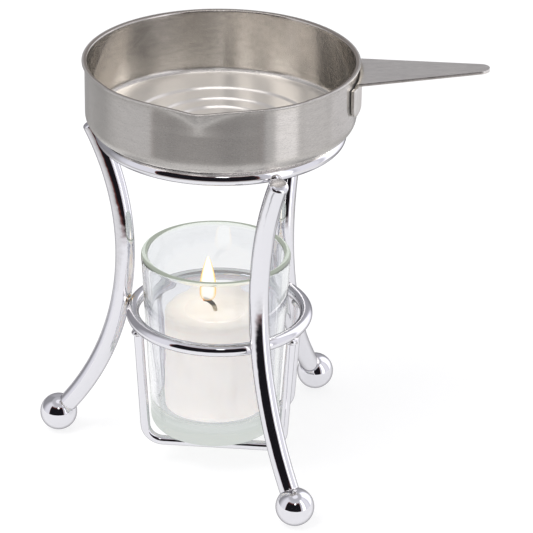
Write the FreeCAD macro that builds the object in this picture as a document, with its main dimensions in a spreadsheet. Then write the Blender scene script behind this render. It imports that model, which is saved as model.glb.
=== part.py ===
import FreeCAD, Part
import math
import os
import Sketcher
from FreeCAD import Vector

# Butter warmer: a small steel pan that stands on a chromed wire stand over a glass candle cup.
# The origin is on the stand's axis, on the table. +Z is up, and +X points along the pan's handle.

SIZES = (
    # The pan: a spun bowl with a turned-out lip, a pour spout and a floor that steps down.
    ("pan_radius", 45.0),
    ("pan_height", 22.9),
    ("pan_wall", 0.8),
    ("pan_corner", 5.0),
    ("lip_reach", 0.9),
    ("lip_height", 1.0),
    ("pan_turn", -3.0),
    ("floor_step", 0.7),
    ("floor_riser", 0.9),
    ("floor_ring_outer", 30.0),
    ("floor_ring_middle", 22.5),
    ("floor_ring_inner", 17.0),
    ("spout_turn", -96.0),
    ("spout_reach", 3.6),
    ("spout_nose", 5.0),
    ("spout_depth", 8.0),
    ("spout_bite", 0.2),
    # The handle: one strip of sheet, its end bent down and spot-welded to the wall.
    ("handle_thickness", 1.0),
    ("handle_drop", 3.1),
    ("handle_rise", 3.45),
    ("handle_reach", 86.5),
    ("handle_root_width", 21.5),
    ("handle_tip_radius", 3.4),
    ("handle_bend", 0.8),
    ("handle_edge_round", 0.32),
    ("tab_gap", 0.4),
    ("tab_height", 11.3),
    ("tab_half_angle", 18.5),
    ("tab_corner", 4.0),
    ("spot_diameter", 4.0),
    ("spot_angle", 10.0),
    ("spot_rise", 5.1),
    # The stand: two rings of wire and three bowed legs of rod, each on a ball.
    ("top_ring_inset", 5.4),
    ("top_wire", 4.6),
    ("top_ring_height", 117.85),
    ("lower_ring_radius", 29.1),
    ("lower_wire", 4.2),
    ("lower_ring_height", 52.2),
    ("leg_rod", 6.5),
    ("leg_bend", 97.0),
    ("leg_end_round", 0.9),
    ("leg_rise", -1.3),
    ("leg_turn_left", 168.0),
    ("leg_turn_front", -66.5),
    ("leg_turn_rear", 48.0),
    ("leg_swing_left", -4.0),
    ("leg_swing_front", 7.0),
    ("leg_swing_rear", 12.0),
    ("ball_diameter", 12.7),
    ("weld_sink", 0.4),
    ("weld_nugget", 4.2),
    # The basket: two U-shaped wires under the lower ring, side by side.
    ("basket_wire", 3.2),
    ("basket_turn", -6.0),
    ("basket_spacing", 28.0),
    ("basket_bottom_width", 46.6),
    ("basket_bend", 6.0),
    ("basket_bead", 4.8),
    ("glass_seat", 11.0),
    # The candle cup: a plain tapered glass.
    ("glass_height", 63.2),
    ("glass_rim_radius", 25.0),
    ("glass_base_radius", 21.5),
    ("glass_wall", 2.3),
    ("glass_rim_share", 0.45),
    ("glass_floor", 7.6),
    ("glass_base_round", 2.5),
    ("glass_floor_round", 1.8),
    ("glass_shift", -1.3),
    ("glass_punt_radius", 14.0),
    ("glass_punt_flat", 12.4),
    ("glass_punt_depth", 0.8),
    # The candle: wax with a melt pool, a wick that curls over, and a tin foot on the wick.
    ("wax_radius", 17.0),
    ("wax_height", 35.2),
    ("wax_edge", 1.2),
    ("pool_radius", 12.0),
    ("pool_flat", 9.0),
    ("pool_depth", 1.0),
    ("wick_diameter", 1.4),
    ("wick_stand", 33.8),
    ("wick_curl", 4.6),
    ("wick_curl_angle", 85.0),
    ("tin_diameter", 14.0),
    ("tin_thickness", 0.3),
    ("tin_neck_diameter", 2.6),
    ("tin_neck_height", 2.5),
    # Play between pieces that lift apart.
    ("seat_play", 0.05),
)

# Lengths and places that follow from the sizes.
FITS = (
    ("pan_base", "sizes.top_ring_height + sizes.top_wire / 2 + sizes.seat_play"),
    ("pan_rim", "pan_base + sizes.pan_height"),
    ("bowl_floor", "pan_base + sizes.pan_wall"),
    ("wall_radius", "sizes.pan_radius - sizes.lip_reach"),
    ("bowl_radius", "wall_radius - sizes.pan_wall"),
    ("spout_centre", "wall_radius + sizes.spout_reach - sizes.spout_nose"),
    ("spout_share", "(wall_radius - sizes.spout_nose) / spout_centre"),
    ("spout_rise", "sqrt(1 - spout_share * spout_share)"),
    ("tab_inner", "wall_radius + sizes.tab_gap"),
    ("tab_outer", "tab_inner + sizes.handle_thickness"),
    ("tab_top", "pan_rim - sizes.handle_drop"),
    ("tab_bottom", "tab_top - sizes.tab_height"),
    ("spot_height", "tab_bottom + sizes.spot_rise"),
    ("strip_root", "(tab_inner + tab_outer) / 2"),
    ("strip_plane", "tab_top - tab_outer * tan(sizes.handle_rise * 1deg)"),
    ("top_ring_radius", "wall_radius - sizes.top_ring_inset"),
    # A leg touches both rings from outside, so its arc's centre lies on a circle round each.
    ("top_touch", "sizes.leg_bend + (sizes.leg_rod + sizes.top_wire) / 2 - sizes.weld_sink"),
    ("lower_touch", "sizes.leg_bend + (sizes.leg_rod + sizes.lower_wire) / 2 - sizes.weld_sink"),
    ("ring_step", "top_ring_radius - sizes.lower_ring_radius"),
    ("ring_drop", "sizes.top_ring_height - sizes.lower_ring_height"),
    ("ring_span", "sqrt(ring_step * ring_step + ring_drop * ring_drop)"),
    ("along_span", "(top_touch * top_touch - lower_touch * lower_touch"
                   " + ring_span * ring_span) / (2 * ring_span)"),
    ("off_span", "sqrt(top_touch * top_touch - along_span * along_span)"),
    ("leg_centre", "top_ring_radius"
                   " + (off_span * ring_drop - along_span * ring_step) / ring_span"),
    ("leg_waist", "sizes.top_ring_height"
                  " - (along_span * ring_drop + off_span * ring_step) / ring_span"),
    ("ball_radius", "sizes.ball_diameter / 2"),
    ("leg_up_angle", "asin((sizes.top_ring_height + sizes.leg_rise - leg_waist)"
                     " / sizes.leg_bend) / 1deg"),
    ("leg_down_angle", "asin((leg_waist - ball_radius) / sizes.leg_bend) / 1deg"),
    ("foot_reach", "leg_centre - sizes.leg_bend * cos(leg_down_angle * 1deg)"),
    # A bead's axis runs from the ring's wire to the leg's rod: its length, and its slope upwards.
    ("top_weld_length", "top_touch - sizes.leg_bend"),
    ("lower_weld_length", "lower_touch - sizes.leg_bend"),
    ("top_weld_slope", "atan((leg_waist - sizes.top_ring_height)"
                       " / (leg_centre - top_ring_radius)) / 1deg"),
    ("lower_weld_slope", "atan((leg_waist - sizes.lower_ring_height)"
                         " / (leg_centre - sizes.lower_ring_radius)) / 1deg"),
    # Each leg's plane is swung a little about the leg's touch on the lower ring.
    ("leg_pivot", "sizes.lower_ring_radius + lower_weld_length * cos(lower_weld_slope * 1deg)"),
    ("leg_spread", "top_ring_radius + top_weld_length * cos(top_weld_slope * 1deg) - leg_pivot"),
    ("basket_line", "sizes.glass_seat - sizes.basket_wire / 2"),
    ("basket_offset", "sizes.basket_spacing / 2"),
    ("basket_top_half", "sqrt(sizes.lower_ring_radius * sizes.lower_ring_radius"
                        " - basket_offset * basket_offset)"),
    ("basket_end", "sizes.lower_ring_height - sizes.lower_wire / 2"),
    ("glass_base", "sizes.glass_seat + sizes.seat_play"),
    ("glass_round", "sizes.glass_rim_share * sizes.glass_wall"),
    ("wax_base", "glass_base + sizes.glass_floor"),
)

# A sketch names an edge's points by number, and its own origin and axes by negative ones.
START, END, CENTRE = range(1, 4)
ORIGIN, LEVEL_AXIS, UPRIGHT_AXIS = -1, -1, -2

QUARTER = math.pi / 2
HALF_TURN = math.degrees(2 * QUARTER)

LEGS = ("left", "front", "rear")
RING_RADII = {"top": "fits.top_ring_radius", "lower": "sizes.lower_ring_radius"}
BASKET_SIDES = (("front", 1), ("rear", -1))


def make_sizes(doc):
    """Write the driving dimensions into the sheet, one named cell each."""
    sheet = doc.addObject("Spreadsheet::Sheet", "sizes")
    for row, (name, value) in enumerate(SIZES, start=1):
        sheet.set(f"A{row}", name)
        sheet.set(f"B{row}", str(value))
        sheet.setAlias(f"B{row}", name)
    doc.recompute()
    return sheet


def make_fits(doc):
    """Hold the lengths that follow from the sizes, each bound to its formula."""
    fits = doc.addObject("App::VarSet", "fits")
    for name, formula in FITS:
        fits.addProperty("App::PropertyFloat", name, "fits")
        fits.setExpression(name, formula)
        doc.recompute()
    return fits


class Drawing:
    """A sketch on one of a body's origin planes, with every size bound to a formula."""

    def __init__(self, body, name, role, offset=None):
        plane = next(f for f in body.Origin.OriginFeatures if f.Role == role)
        self.sketch = body.newObject("Sketcher::SketchObject", name)
        self.sketch.AttachmentSupport = [(plane, "")]
        self.sketch.MapMode = "FlatFace"
        if offset:
            self.sketch.setExpression("AttachmentOffset", offset)

    def value(self, formula):
        """The present value of a formula, to draw the first guess with."""
        return float(self.sketch.evalExpression(formula))

    def bind(self, kind, *places, to):
        """Add a dimension between the places and bind it to a formula."""
        index = self.sketch.addConstraint(Sketcher.Constraint(kind, *places, self.value(to)))
        self.sketch.setExpression(f"Constraints[{index}]", to)

    def tie(self, kind, *places):
        """Add a constraint that has no size."""
        self.sketch.addConstraint(Sketcher.Constraint(kind, *places))

    def place(self, edge, end, across, up):
        """Fix one point of an edge at (across, up) from the sketch's origin."""
        if across == "0":
            self.tie("PointOnObject", edge, end, UPRIGHT_AXIS)
        else:
            self.bind("DistanceX", ORIGIN, START, edge, end, to=across)
        if up == "0":
            self.tie("PointOnObject", edge, end, LEVEL_AXIS)
        else:
            self.bind("DistanceY", ORIGIN, START, edge, end, to=up)

    def outline(self, corners, bend=None, radius=None):
        """Draw a closed outline of straight edges through corners given as formulas.

        The corner numbered bend, where a level edge meets an upright one, gets a radius.
        """
        points = [Vector(self.value(x), self.value(y), 0) for x, y in corners]
        edges = []
        for number, start in enumerate(points):
            end = points[(number + 1) % len(points)]
            if bend is not None and number == bend:
                start = start + Vector(0, self.value(radius), 0)
            if bend is not None and number + 1 == bend:
                end = end - Vector(self.value(radius), 0, 0)
            edges.append(self.line(start, end))
        for number, edge in enumerate(edges):
            before = edges[number - 1]
            if number != bend:
                self.tie("Coincident", before, END, edge, START)
                self.place(edge, START, *corners[number])
                continue
            across, up = corners[number]
            arc = self.arc(f"{across} - ({radius})", f"{up} + ({radius})", radius, -QUARTER, 0)
            self.tie("Tangent", before, END, arc, START)
            self.tie("Tangent", arc, END, edge, START)
            self.tie("Horizontal", before)
            self.tie("Vertical", edge)
            self.bind("Radius", arc, to=radius)
        return self.sketch

    def circle(self, across, up, radius):
        """Draw one circle."""
        centre = Vector(self.value(across), self.value(up), 0)
        shape = Part.Circle(centre, Vector(0, 0, 1), self.value(radius))
        edge = self.sketch.addGeometry(shape, False)
        self.place(edge, CENTRE, across, up)
        self.bind("Radius", edge, to=radius)
        return self.sketch

    def axis(self, across, half_length):
        """Draw a construction line square to the sketch's own x axis."""
        x = self.value(across)
        half = self.value(half_length)
        line = Part.LineSegment(Vector(x, -half, 0), Vector(x, half, 0))
        edge = self.sketch.addGeometry(line, True)
        self.place(edge, START, across, f"-{half_length}")
        self.place(edge, END, across, half_length)
        return self.sketch

    def arc(self, across, up, radius, start, end):
        """Add an arc whose ends the caller ties down."""
        centre = Vector(self.value(across), self.value(up), 0)
        circle = Part.Circle(centre, Vector(0, 0, 1), self.value(radius))
        return self.sketch.addGeometry(Part.ArcOfCircle(circle, start, end), False)

    def line(self, start, end):
        """Add a straight edge whose ends the caller ties down."""
        return self.sketch.addGeometry(Part.LineSegment(start, end), False)

    def ends(self, edge):
        """Both ends of an edge as drawn so far."""
        shape = self.sketch.Geometry[edge]
        return shape.StartPoint, shape.EndPoint


def turned(turn):
    """A placement turned about the stand's axis."""
    return f"placement(vector(0; 0; 0); rotation(vector(0; 0; 1); {turn}))"


def lifted(height, turn="0"):
    """A placement raised along Z, and turned about it."""
    return f"placement(vector(0; 0; {height}); rotation(vector(0; 0; 1); {turn}))"


def at(reach, height):
    """A placement moved along X and up, not turned."""
    return f"placement(vector({reach}; 0; {height}); rotation(vector(0; 0; 1); 0))"


def out_at(reach, height, turn):
    """A placement at a reach from the stand's axis and a height, turned about the axis."""
    return f"{turned(turn)} * {at(reach, height)}"


def new_body(doc, name, placement=None):
    body = doc.addObject("PartDesign::Body", name)
    body.Label = name
    if placement:
        body.setExpression("Placement", placement)
    return body


def revolve(body, sketch, name, kind="PartDesign::Revolution"):
    """Turn a sketch a full turn about its vertical axis."""
    feature = body.newObject(kind, name)
    feature.Profile = sketch
    feature.ReferenceAxis = (sketch, ["V_Axis"])
    feature.Angle = 360
    body.Document.recompute()
    return feature


def fillet(body, base, name, edges, radius):
    """Round the named edges of the body's last feature."""
    feature = body.newObject("PartDesign::Fillet", name)
    feature.Base = (base, edges)
    feature.setExpression("Radius", radius)
    body.Document.recompute()
    return feature


def edges_where(feature, test):
    """The names of the feature's edges that pass a test."""
    return [f"Edge{n}" for n, edge in enumerate(feature.Shape.Edges, start=1) if test(edge)]


def rings_at(feature, places):
    """The names of the full circles about Z that have one of the (radius, height) pairs."""

    def wanted(edge):
        if not isinstance(edge.Curve, Part.Circle):
            return False
        for radius, height in places:
            if abs(edge.Curve.Radius - radius) < 1e-4 and abs(edge.Curve.Center.z - height) < 1e-4:
                return True
        return False

    return edges_where(feature, wanted)


def rim_outline(drawing, radius, nose):
    """Draw a circle with a V-shaped spout on +x: two straight flanks meet round a small nose."""
    share = drawing.value(f"({radius} - ({nose})) / fits.spout_centre")
    spread = Vector(share, (1 - share * share) ** 0.5, 0)
    angle = Vector(1, 0, 0).getAngle(spread)
    whole = 2 * math.pi
    rim = drawing.arc("0", "0", radius, angle, whole - angle)
    tip = drawing.arc("fits.spout_centre", "0", nose, -angle, angle)
    rim_start, rim_end = drawing.ends(rim)
    tip_start, tip_end = drawing.ends(tip)
    near = drawing.line(rim_end, tip_start)
    far = drawing.line(tip_end, rim_start)
    drawing.tie("Coincident", rim, CENTRE, ORIGIN, START)
    drawing.tie("Tangent", rim, END, near, START)
    drawing.tie("Tangent", near, END, tip, START)
    drawing.tie("Tangent", tip, END, far, START)
    drawing.tie("Tangent", far, END, rim, START)
    drawing.bind("Radius", rim, to=radius)
    drawing.bind("Radius", tip, to=nose)
    drawing.place(tip, CENTRE, "fits.spout_centre", "0")
    return drawing.sketch


def spout_outline(drawing, radius, nose, shift):
    """Draw the spout's own part of the rim outline, moved in along -x by the shift."""
    share = drawing.value("fits.spout_share")
    rise = drawing.value("fits.spout_rise")
    angle = Vector(1, 0, 0).getAngle(Vector(share, rise, 0))
    root_across = f"{radius} * fits.spout_share - {shift}"
    root_up = f"{radius} * fits.spout_rise"
    centre = f"fits.spout_centre - {shift}"
    tip = drawing.arc(centre, "0", nose, -angle, angle)
    tip_start, tip_end = drawing.ends(tip)
    far_root = Vector(drawing.value(root_across), drawing.value(root_up), 0)
    near_root = Vector(far_root.x, -far_root.y, 0)
    near = drawing.line(near_root, tip_start)
    far = drawing.line(tip_end, far_root)
    chord = drawing.line(far_root, near_root)
    drawing.tie("Tangent", near, END, tip, START)
    drawing.tie("Tangent", tip, END, far, START)
    drawing.tie("Coincident", far, END, chord, START)
    drawing.tie("Coincident", chord, END, near, START)
    drawing.place(tip, CENTRE, centre, "0")
    drawing.place(far, END, root_across, root_up)
    drawing.place(near, START, root_across, f"-({root_up})")
    drawing.bind("Radius", tip, to=nose)
    return drawing.sketch


def floor_steps(level):
    """The corners of the stepped floor from the axis out, for a floor at the given level."""
    corners = [("0", f"{level} - 3 * sizes.floor_step")]
    for drop, ring in ((2, "inner"), (1, "middle"), (0, "outer")):
        edge = f"sizes.floor_ring_{ring}"
        corners.append((f"{edge} - sizes.floor_riser", f"{level} - {drop + 1} * sizes.floor_step"))
        corners.append((edge, f"{level} - {drop} * sizes.floor_step"))
    return corners


def make_pan_bowl(doc):
    """The bowl: solid outer form with its spout and lip, then hollowed to the wall."""
    body = new_body(doc, "pan_bowl", turned("sizes.pan_turn"))
    drawing = Drawing(body, "outer_profile", "XZ_Plane")
    corners = floor_steps("fits.pan_base")
    corner = len(corners)
    corners += [("fits.wall_radius", "fits.pan_base"), ("fits.wall_radius", "fits.pan_rim"),
                ("0", "fits.pan_rim")]
    revolve(body, drawing.outline(corners, corner, "sizes.pan_corner"), "outer_form")

    def spout(name, kind, radius, nose):
        """Loft the spout from nothing inside the wall, out to its full reach at the rim."""
        sections = []
        places = (("top", "fits.pan_rim", "0"),
                  ("foot", "fits.pan_rim - sizes.spout_depth",
                   "(sizes.spout_reach + sizes.spout_bite)"))
        for end, height, shift in places:
            section = Drawing(body, f"{name}_{end}", "XY_Plane", lifted(height, "sizes.spout_turn"))
            sections.append(spout_outline(section, radius, nose, shift))
        doc.recompute()
        loft = body.newObject(kind, name)
        loft.Profile = sections[0]
        loft.Sections = [sections[1]]
        loft.Ruled = True
        doc.recompute()

    spout("spout_form", "PartDesign::AdditiveLoft", "fits.wall_radius", "sizes.spout_nose")
    lip_plane = lifted("fits.pan_rim - sizes.lip_height", "sizes.spout_turn")
    lip_drawing = Drawing(body, "lip_outline", "XY_Plane", lip_plane)
    lip = body.newObject("PartDesign::Pad", "lip")
    lip.Profile = rim_outline(lip_drawing, "sizes.pan_radius", "(sizes.spout_nose + sizes.lip_reach)")
    lip.setExpression("Length", "sizes.lip_height")
    doc.recompute()

    drawing = Drawing(body, "inner_profile", "XZ_Plane")
    corners = floor_steps("fits.bowl_floor")
    corners += [("fits.bowl_radius", "fits.bowl_floor"), ("fits.bowl_radius", "fits.pan_rim"),
                ("0", "fits.pan_rim")]
    profile = drawing.outline(corners, corner, "sizes.pan_corner - sizes.pan_wall")
    revolve(body, profile, "hollow", "PartDesign::Groove")
    spout("spout_hollow", "PartDesign::SubtractiveLoft", "fits.bowl_radius",
          "(sizes.spout_nose - sizes.pan_wall)")
    return body


def make_pan_handle(doc):
    """The handle: a tab curved round the wall, and a tapered strip that rises from its top."""
    body = new_body(doc, "pan_handle", turned("sizes.pan_turn"))
    drawing = Drawing(body, "tab_section", "XZ_Plane")
    tab = body.newObject("PartDesign::Revolution", "tab")
    tab.Profile = drawing.outline([
        ("fits.tab_inner", "fits.tab_bottom"), ("fits.tab_outer", "fits.tab_bottom"),
        ("fits.tab_outer", "fits.tab_top"), ("fits.tab_inner", "fits.tab_top")])
    tab.ReferenceAxis = (tab.Profile[0], ["V_Axis"])
    tab.Midplane = True
    tab.setExpression("Angle", "2 * sizes.tab_half_angle")
    doc.recompute()
    low = drawing.value("fits.tab_bottom")
    thickness = drawing.value("sizes.handle_thickness")

    def lower_corner(edge):
        ends = [vertex.Point.z for vertex in edge.Vertexes]
        return max(ends) - low < 1e-4 and abs(edge.Length - thickness) < 1e-4

    fillet(body, tab, "tab_corners", edges_where(tab, lower_corner), "sizes.tab_corner")

    slope = ("placement(vector(0; 0; fits.strip_plane);"
             " rotation(vector(0; -1; 0); sizes.handle_rise))")
    drawing = Drawing(body, "strip_outline", "XY_Plane", slope)
    root = drawing.value("fits.strip_root")
    half = drawing.value("sizes.handle_root_width / 2")
    tip_centre = "sizes.handle_reach - sizes.handle_tip_radius"
    centre = drawing.value(tip_centre)
    tip_radius = drawing.value("sizes.handle_tip_radius")
    spread = Vector(1, 0, 0).getAngle(Vector((root ** 2 - half ** 2) ** 0.5, half, 0))
    root_arc = drawing.arc("0", "0", "fits.strip_root", -spread, spread)
    tip = drawing.arc(tip_centre, "0", "sizes.handle_tip_radius", -QUARTER, QUARTER)
    near_root, far_root = drawing.ends(root_arc)
    near = drawing.line(near_root, Vector(centre, -tip_radius, 0))
    far = drawing.line(Vector(centre, tip_radius, 0), far_root)
    drawing.tie("Coincident", root_arc, CENTRE, ORIGIN, START)
    drawing.tie("Coincident", root_arc, START, near, START)
    drawing.tie("Tangent", near, END, tip, START)
    drawing.tie("Tangent", tip, END, far, START)
    drawing.tie("Coincident", far, END, root_arc, END)
    drawing.tie("Symmetric", root_arc, START, root_arc, END, LEVEL_AXIS)
    drawing.place(tip, CENTRE, tip_centre, "0")
    drawing.bind("Radius", tip, to="sizes.handle_tip_radius")
    drawing.bind("Radius", root_arc, to="fits.strip_root")
    drawing.bind("DistanceY", root_arc, START, root_arc, END, to="sizes.handle_root_width")
    strip = body.newObject("PartDesign::Pad", "strip")
    strip.Profile = drawing.sketch
    strip.setExpression("Length", "sizes.handle_thickness")
    strip.Reversed = True
    doc.recompute()

    # The inside of the bend is filled to its radius, over the strip's own width.
    drawing = Drawing(body, "bend_section", "XZ_Plane")
    under = "fits.tab_top - sizes.handle_thickness"
    bite = "sizes.handle_thickness / 2"
    inner = f"fits.tab_outer - {bite}"
    outer = "fits.tab_outer + sizes.handle_bend"
    low = f"{under} - sizes.handle_bend"
    high = f"{under} + {bite}"
    corners = [Vector(drawing.value(x), drawing.value(y), 0)
               for x, y in ((inner, low), (inner, high), (outer, high))]
    left = drawing.line(corners[0], corners[1])
    top = drawing.line(corners[1], corners[2])
    right = drawing.line(corners[2], Vector(corners[2].x, drawing.value(under), 0))
    hollow = drawing.arc(outer, low, "sizes.handle_bend", QUARTER, 2 * QUARTER)
    foot = drawing.line(Vector(drawing.value("fits.tab_outer"), corners[0].y, 0), corners[0])
    drawing.tie("Coincident", left, END, top, START)
    drawing.tie("Coincident", top, END, right, START)
    drawing.tie("Coincident", right, END, hollow, START)
    drawing.tie("Coincident", hollow, END, foot, START)
    drawing.tie("Coincident", foot, END, left, START)
    drawing.tie("Vertical", left)
    drawing.tie("Horizontal", top)
    drawing.tie("Vertical", right)
    drawing.tie("Horizontal", foot)
    drawing.place(left, END, inner, high)
    drawing.place(hollow, CENTRE, outer, low)
    drawing.tie("Vertical", hollow, CENTRE, right, END)
    drawing.tie("Horizontal", hollow, CENTRE, hollow, END)
    drawing.bind("Radius", hollow, to="sizes.handle_bend")
    fill = body.newObject("PartDesign::Revolution", "bend_fill")
    fill.Profile = drawing.sketch
    fill.ReferenceAxis = (drawing.sketch, ["V_Axis"])
    fill.Midplane = True
    fill.setExpression("Angle", "2 * asin(sizes.handle_root_width / 2 / fits.tab_outer)")
    doc.recompute()
    top_edge = rings_at(fill, [(drawing.value("fits.tab_inner"), drawing.value("fits.tab_top"))])
    fillet(body, fill, "bend_round", top_edge, "sizes.handle_edge_round")
    return body


def make_spot_welds(doc):
    """The discs of weld metal that fill the gap between the pan's wall and the tab."""
    shells = []
    for name, radius in (("spot_outer", "fits.tab_inner"), ("spot_inner", "fits.wall_radius")):
        shell = doc.addObject("Part::Cylinder", name)
        shell.setExpression("Radius", radius)
        shell.setExpression("Height", "sizes.tab_height")
        shell.setExpression("Placement", lifted("fits.tab_bottom"))
        shells.append(shell)
    gap = doc.addObject("Part::Cut", "spot_gap")
    gap.Base = shells[0]
    gap.Tool = shells[1]
    discs = []
    for number in (-1, 0, 1):
        disc = doc.addObject("Part::Cylinder", f"spot_disc_{number + 2}")
        disc.setExpression("Radius", "sizes.spot_diameter / 2")
        disc.setExpression("Height", "fits.tab_outer")
        turn = turned(f"{number} * sizes.spot_angle")
        lie = "placement(vector(0; 0; fits.spot_height); rotation(vector(0; 1; 0); 90))"
        disc.setExpression("Placement", f"{turn} * {lie}")
        discs.append(disc)
    spots = doc.addObject("Part::MultiFuse", "spot_discs")
    spots.Shapes = discs
    welds = doc.addObject("Part::Common", "handle_spot_welds")
    welds.Base = gap
    welds.Tool = spots
    welds.setExpression("Placement", turned("sizes.pan_turn"))
    return welds


def make_ring(doc, name, prefix, radius):
    """A closed ring of round wire."""
    ring = doc.addObject("Part::Torus", name)
    ring.setExpression("Radius1", radius)
    ring.setExpression("Radius2", f"sizes.{prefix}_wire / 2")
    ring.setExpression("Placement", lifted(f"sizes.{prefix}_ring_height"))
    return ring


def leg_place(place):
    """The place of a leg's own plane: turned to its side, and swung about the lower ring's touch."""
    swing = f"placement(vector(0; 0; 0); rotation(vector(0; 0; 1); sizes.leg_swing_{place}))"
    return (f"{turned(f'sizes.leg_turn_{place}')} * {at('fits.leg_pivot', '0')}"
            f" * {swing} * {at('-fits.leg_pivot', '0')}")


def make_leg(doc, place):
    """A leg: round rod bent to one arc, its cut end eased above, and square inside its foot."""
    body = new_body(doc, f"leg_{place}", leg_place(place))
    drawing = Drawing(body, f"rod_section_{place}", "XY_Plane", lifted("fits.leg_waist"))
    drawing.circle("fits.leg_centre - sizes.leg_bend", "0", "sizes.leg_rod / 2")
    drawing.axis("fits.leg_centre", "sizes.leg_rod")
    bend = body.newObject("PartDesign::Revolution", f"rod_bend_{place}")
    bend.Profile = drawing.sketch
    bend.ReferenceAxis = (drawing.sketch, ["Axis0"])
    bend.Type = "TwoAngles"
    bend.setExpression("Angle", "fits.leg_up_angle")
    bend.setExpression("Angle2", "fits.leg_down_angle")
    doc.recompute()
    waist = drawing.value("fits.leg_waist")

    def upper_rim(edge):
        return isinstance(edge.Curve, Part.Circle) and edge.Curve.Center.z > waist and edge.Closed

    fillet(body, bend, f"rod_end_{place}", edges_where(bend, upper_rim), "sizes.leg_end_round")
    return body


def make_foot(doc, place, leg):
    """A ball foot, drilled for the end of its leg."""
    ball = doc.addObject("Part::Sphere", f"ball_{place}")
    ball.setExpression("Radius", "fits.ball_radius")
    ball.setExpression("Placement", f"{leg_place(place)} * {at('fits.foot_reach', 'fits.ball_radius')}")
    foot = doc.addObject("Part::Cut", f"foot_{place}")
    foot.Base = ball
    foot.Tool = leg
    return foot


def make_basket_wire(doc, place, side, ring):
    """One U-shaped wire of the basket, its ends coped to sit under the lower ring."""
    body = new_body(doc, f"basket_bar_{place}", turned("sizes.basket_turn"))
    offset = f"{side} * fits.basket_offset"
    plane = f"placement(vector(0; 0; {offset}); rotation(vector(0; 0; 1); 0))"
    path = Drawing(body, f"basket_path_{place}", "XZ_Plane", plane)
    top_half = path.value("fits.basket_top_half")
    flat_half = "(sizes.basket_bottom_width / 2 - sizes.basket_bend)"
    flat = path.value(flat_half)
    low = path.value("fits.basket_line")
    high = path.value("sizes.lower_ring_height")
    bend = path.value("sizes.basket_bend")
    left_side = path.line(Vector(-top_half, high, 0), Vector(-flat - bend, low + bend, 0))
    left_bend = path.arc(f"-{flat_half}", "fits.basket_line + sizes.basket_bend",
                         "sizes.basket_bend", 2 * QUARTER, 3 * QUARTER)
    bottom = path.line(Vector(-flat, low, 0), Vector(flat, low, 0))
    right_bend = path.arc(flat_half, "fits.basket_line + sizes.basket_bend",
                          "sizes.basket_bend", 3 * QUARTER, 4 * QUARTER)
    right_side = path.line(Vector(flat + bend, low + bend, 0), Vector(top_half, high, 0))
    path.place(left_side, START, "-fits.basket_top_half", "sizes.lower_ring_height")
    path.place(right_side, END, "fits.basket_top_half", "sizes.lower_ring_height")
    path.place(bottom, START, f"-{flat_half}", "fits.basket_line")
    path.place(bottom, END, flat_half, "fits.basket_line")
    path.tie("Tangent", left_side, END, left_bend, START)
    path.tie("Tangent", left_bend, END, bottom, START)
    path.tie("Tangent", bottom, END, right_bend, START)
    path.tie("Tangent", right_bend, END, right_side, START)
    path.bind("Radius", left_bend, to="sizes.basket_bend")
    path.bind("Radius", right_bend, to="sizes.basket_bend")
    end = Drawing(body, f"basket_section_{place}", "XY_Plane", lifted("sizes.lower_ring_height"))
    end.circle("-fits.basket_top_half", f"-{offset}", "sizes.basket_wire / 2")
    doc.recompute()
    pipe = body.newObject("PartDesign::AdditivePipe", f"basket_sweep_{place}")
    pipe.Profile = end.sketch
    pipe.Spine = (path.sketch, [f"Edge{n}" for n in range(1, 6)])
    doc.recompute()
    wire = doc.addObject("Part::Cut", f"basket_wire_{place}")
    wire.Base = body
    wire.Tool = ring
    return wire


def make_beads(doc, name, joins):
    """Weld beads: at each join a blob of weld metal, less the two rods that meet there."""
    beads = []
    for number, (blob, first, second) in enumerate(joins, start=1):
        bead = blob
        for rod in (first, second):
            rest = doc.addObject("Part::Cut", f"{name}_{number}_on_{rod.Name}")
            rest.Base = bead
            rest.Tool = rod
            bead = rest
        beads.append(bead)
    group = doc.addObject("Part::Compound", name)
    group.Links = beads
    return group


def make_leg_welds(doc, prefix, ring, legs):
    """The nuggets between a ring and the legs, each a short plug along the line of contact."""
    joins = []
    for place, leg in legs.items():
        plug = doc.addObject("Part::Cylinder", f"{prefix}_weld_plug_{place}")
        plug.setExpression("Radius", "sizes.weld_nugget / 2")
        plug.setExpression("Height", f"fits.{prefix}_weld_length")
        turn = f"sizes.leg_turn_{place}"
        if prefix == "top":
            swing = f"sizes.leg_swing_{place} * 1deg"
            turn += (f" + atan(fits.leg_spread * sin({swing})"
                     f" / (fits.leg_pivot + fits.leg_spread * cos({swing}))) / 1deg")
        lie = (f"placement(vector({RING_RADII[prefix]}; 0; sizes.{prefix}_ring_height);"
               f" rotation(vector(0; 1; 0); 90 - fits.{prefix}_weld_slope))")
        plug.setExpression("Placement", f"{turned(turn)} * {lie}")
        joins.append((plug, ring, leg))
    return make_beads(doc, f"{prefix}_ring_welds", joins)


def make_basket_welds(doc, ring, wires):
    """The beads round the ends of the basket's wires, under the lower ring."""
    spread = "asin(fits.basket_offset / sizes.lower_ring_radius) / 1deg"
    joins = []
    for (place, side), wire in zip(BASKET_SIDES, wires):
        for end, across, half_turn in (("right", -side, 0), ("left", side, HALF_TURN)):
            ball = doc.addObject("Part::Sphere", f"basket_ball_{place}_{end}")
            ball.setExpression("Radius", "sizes.basket_bead / 2")
            turn = f"{half_turn} + {across} * {spread} + sizes.basket_turn"
            ball.setExpression("Placement", out_at("sizes.lower_ring_radius", "fits.basket_end", turn))
            joins.append((ball, ring, wire))
    return make_beads(doc, "basket_welds", joins)


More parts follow.
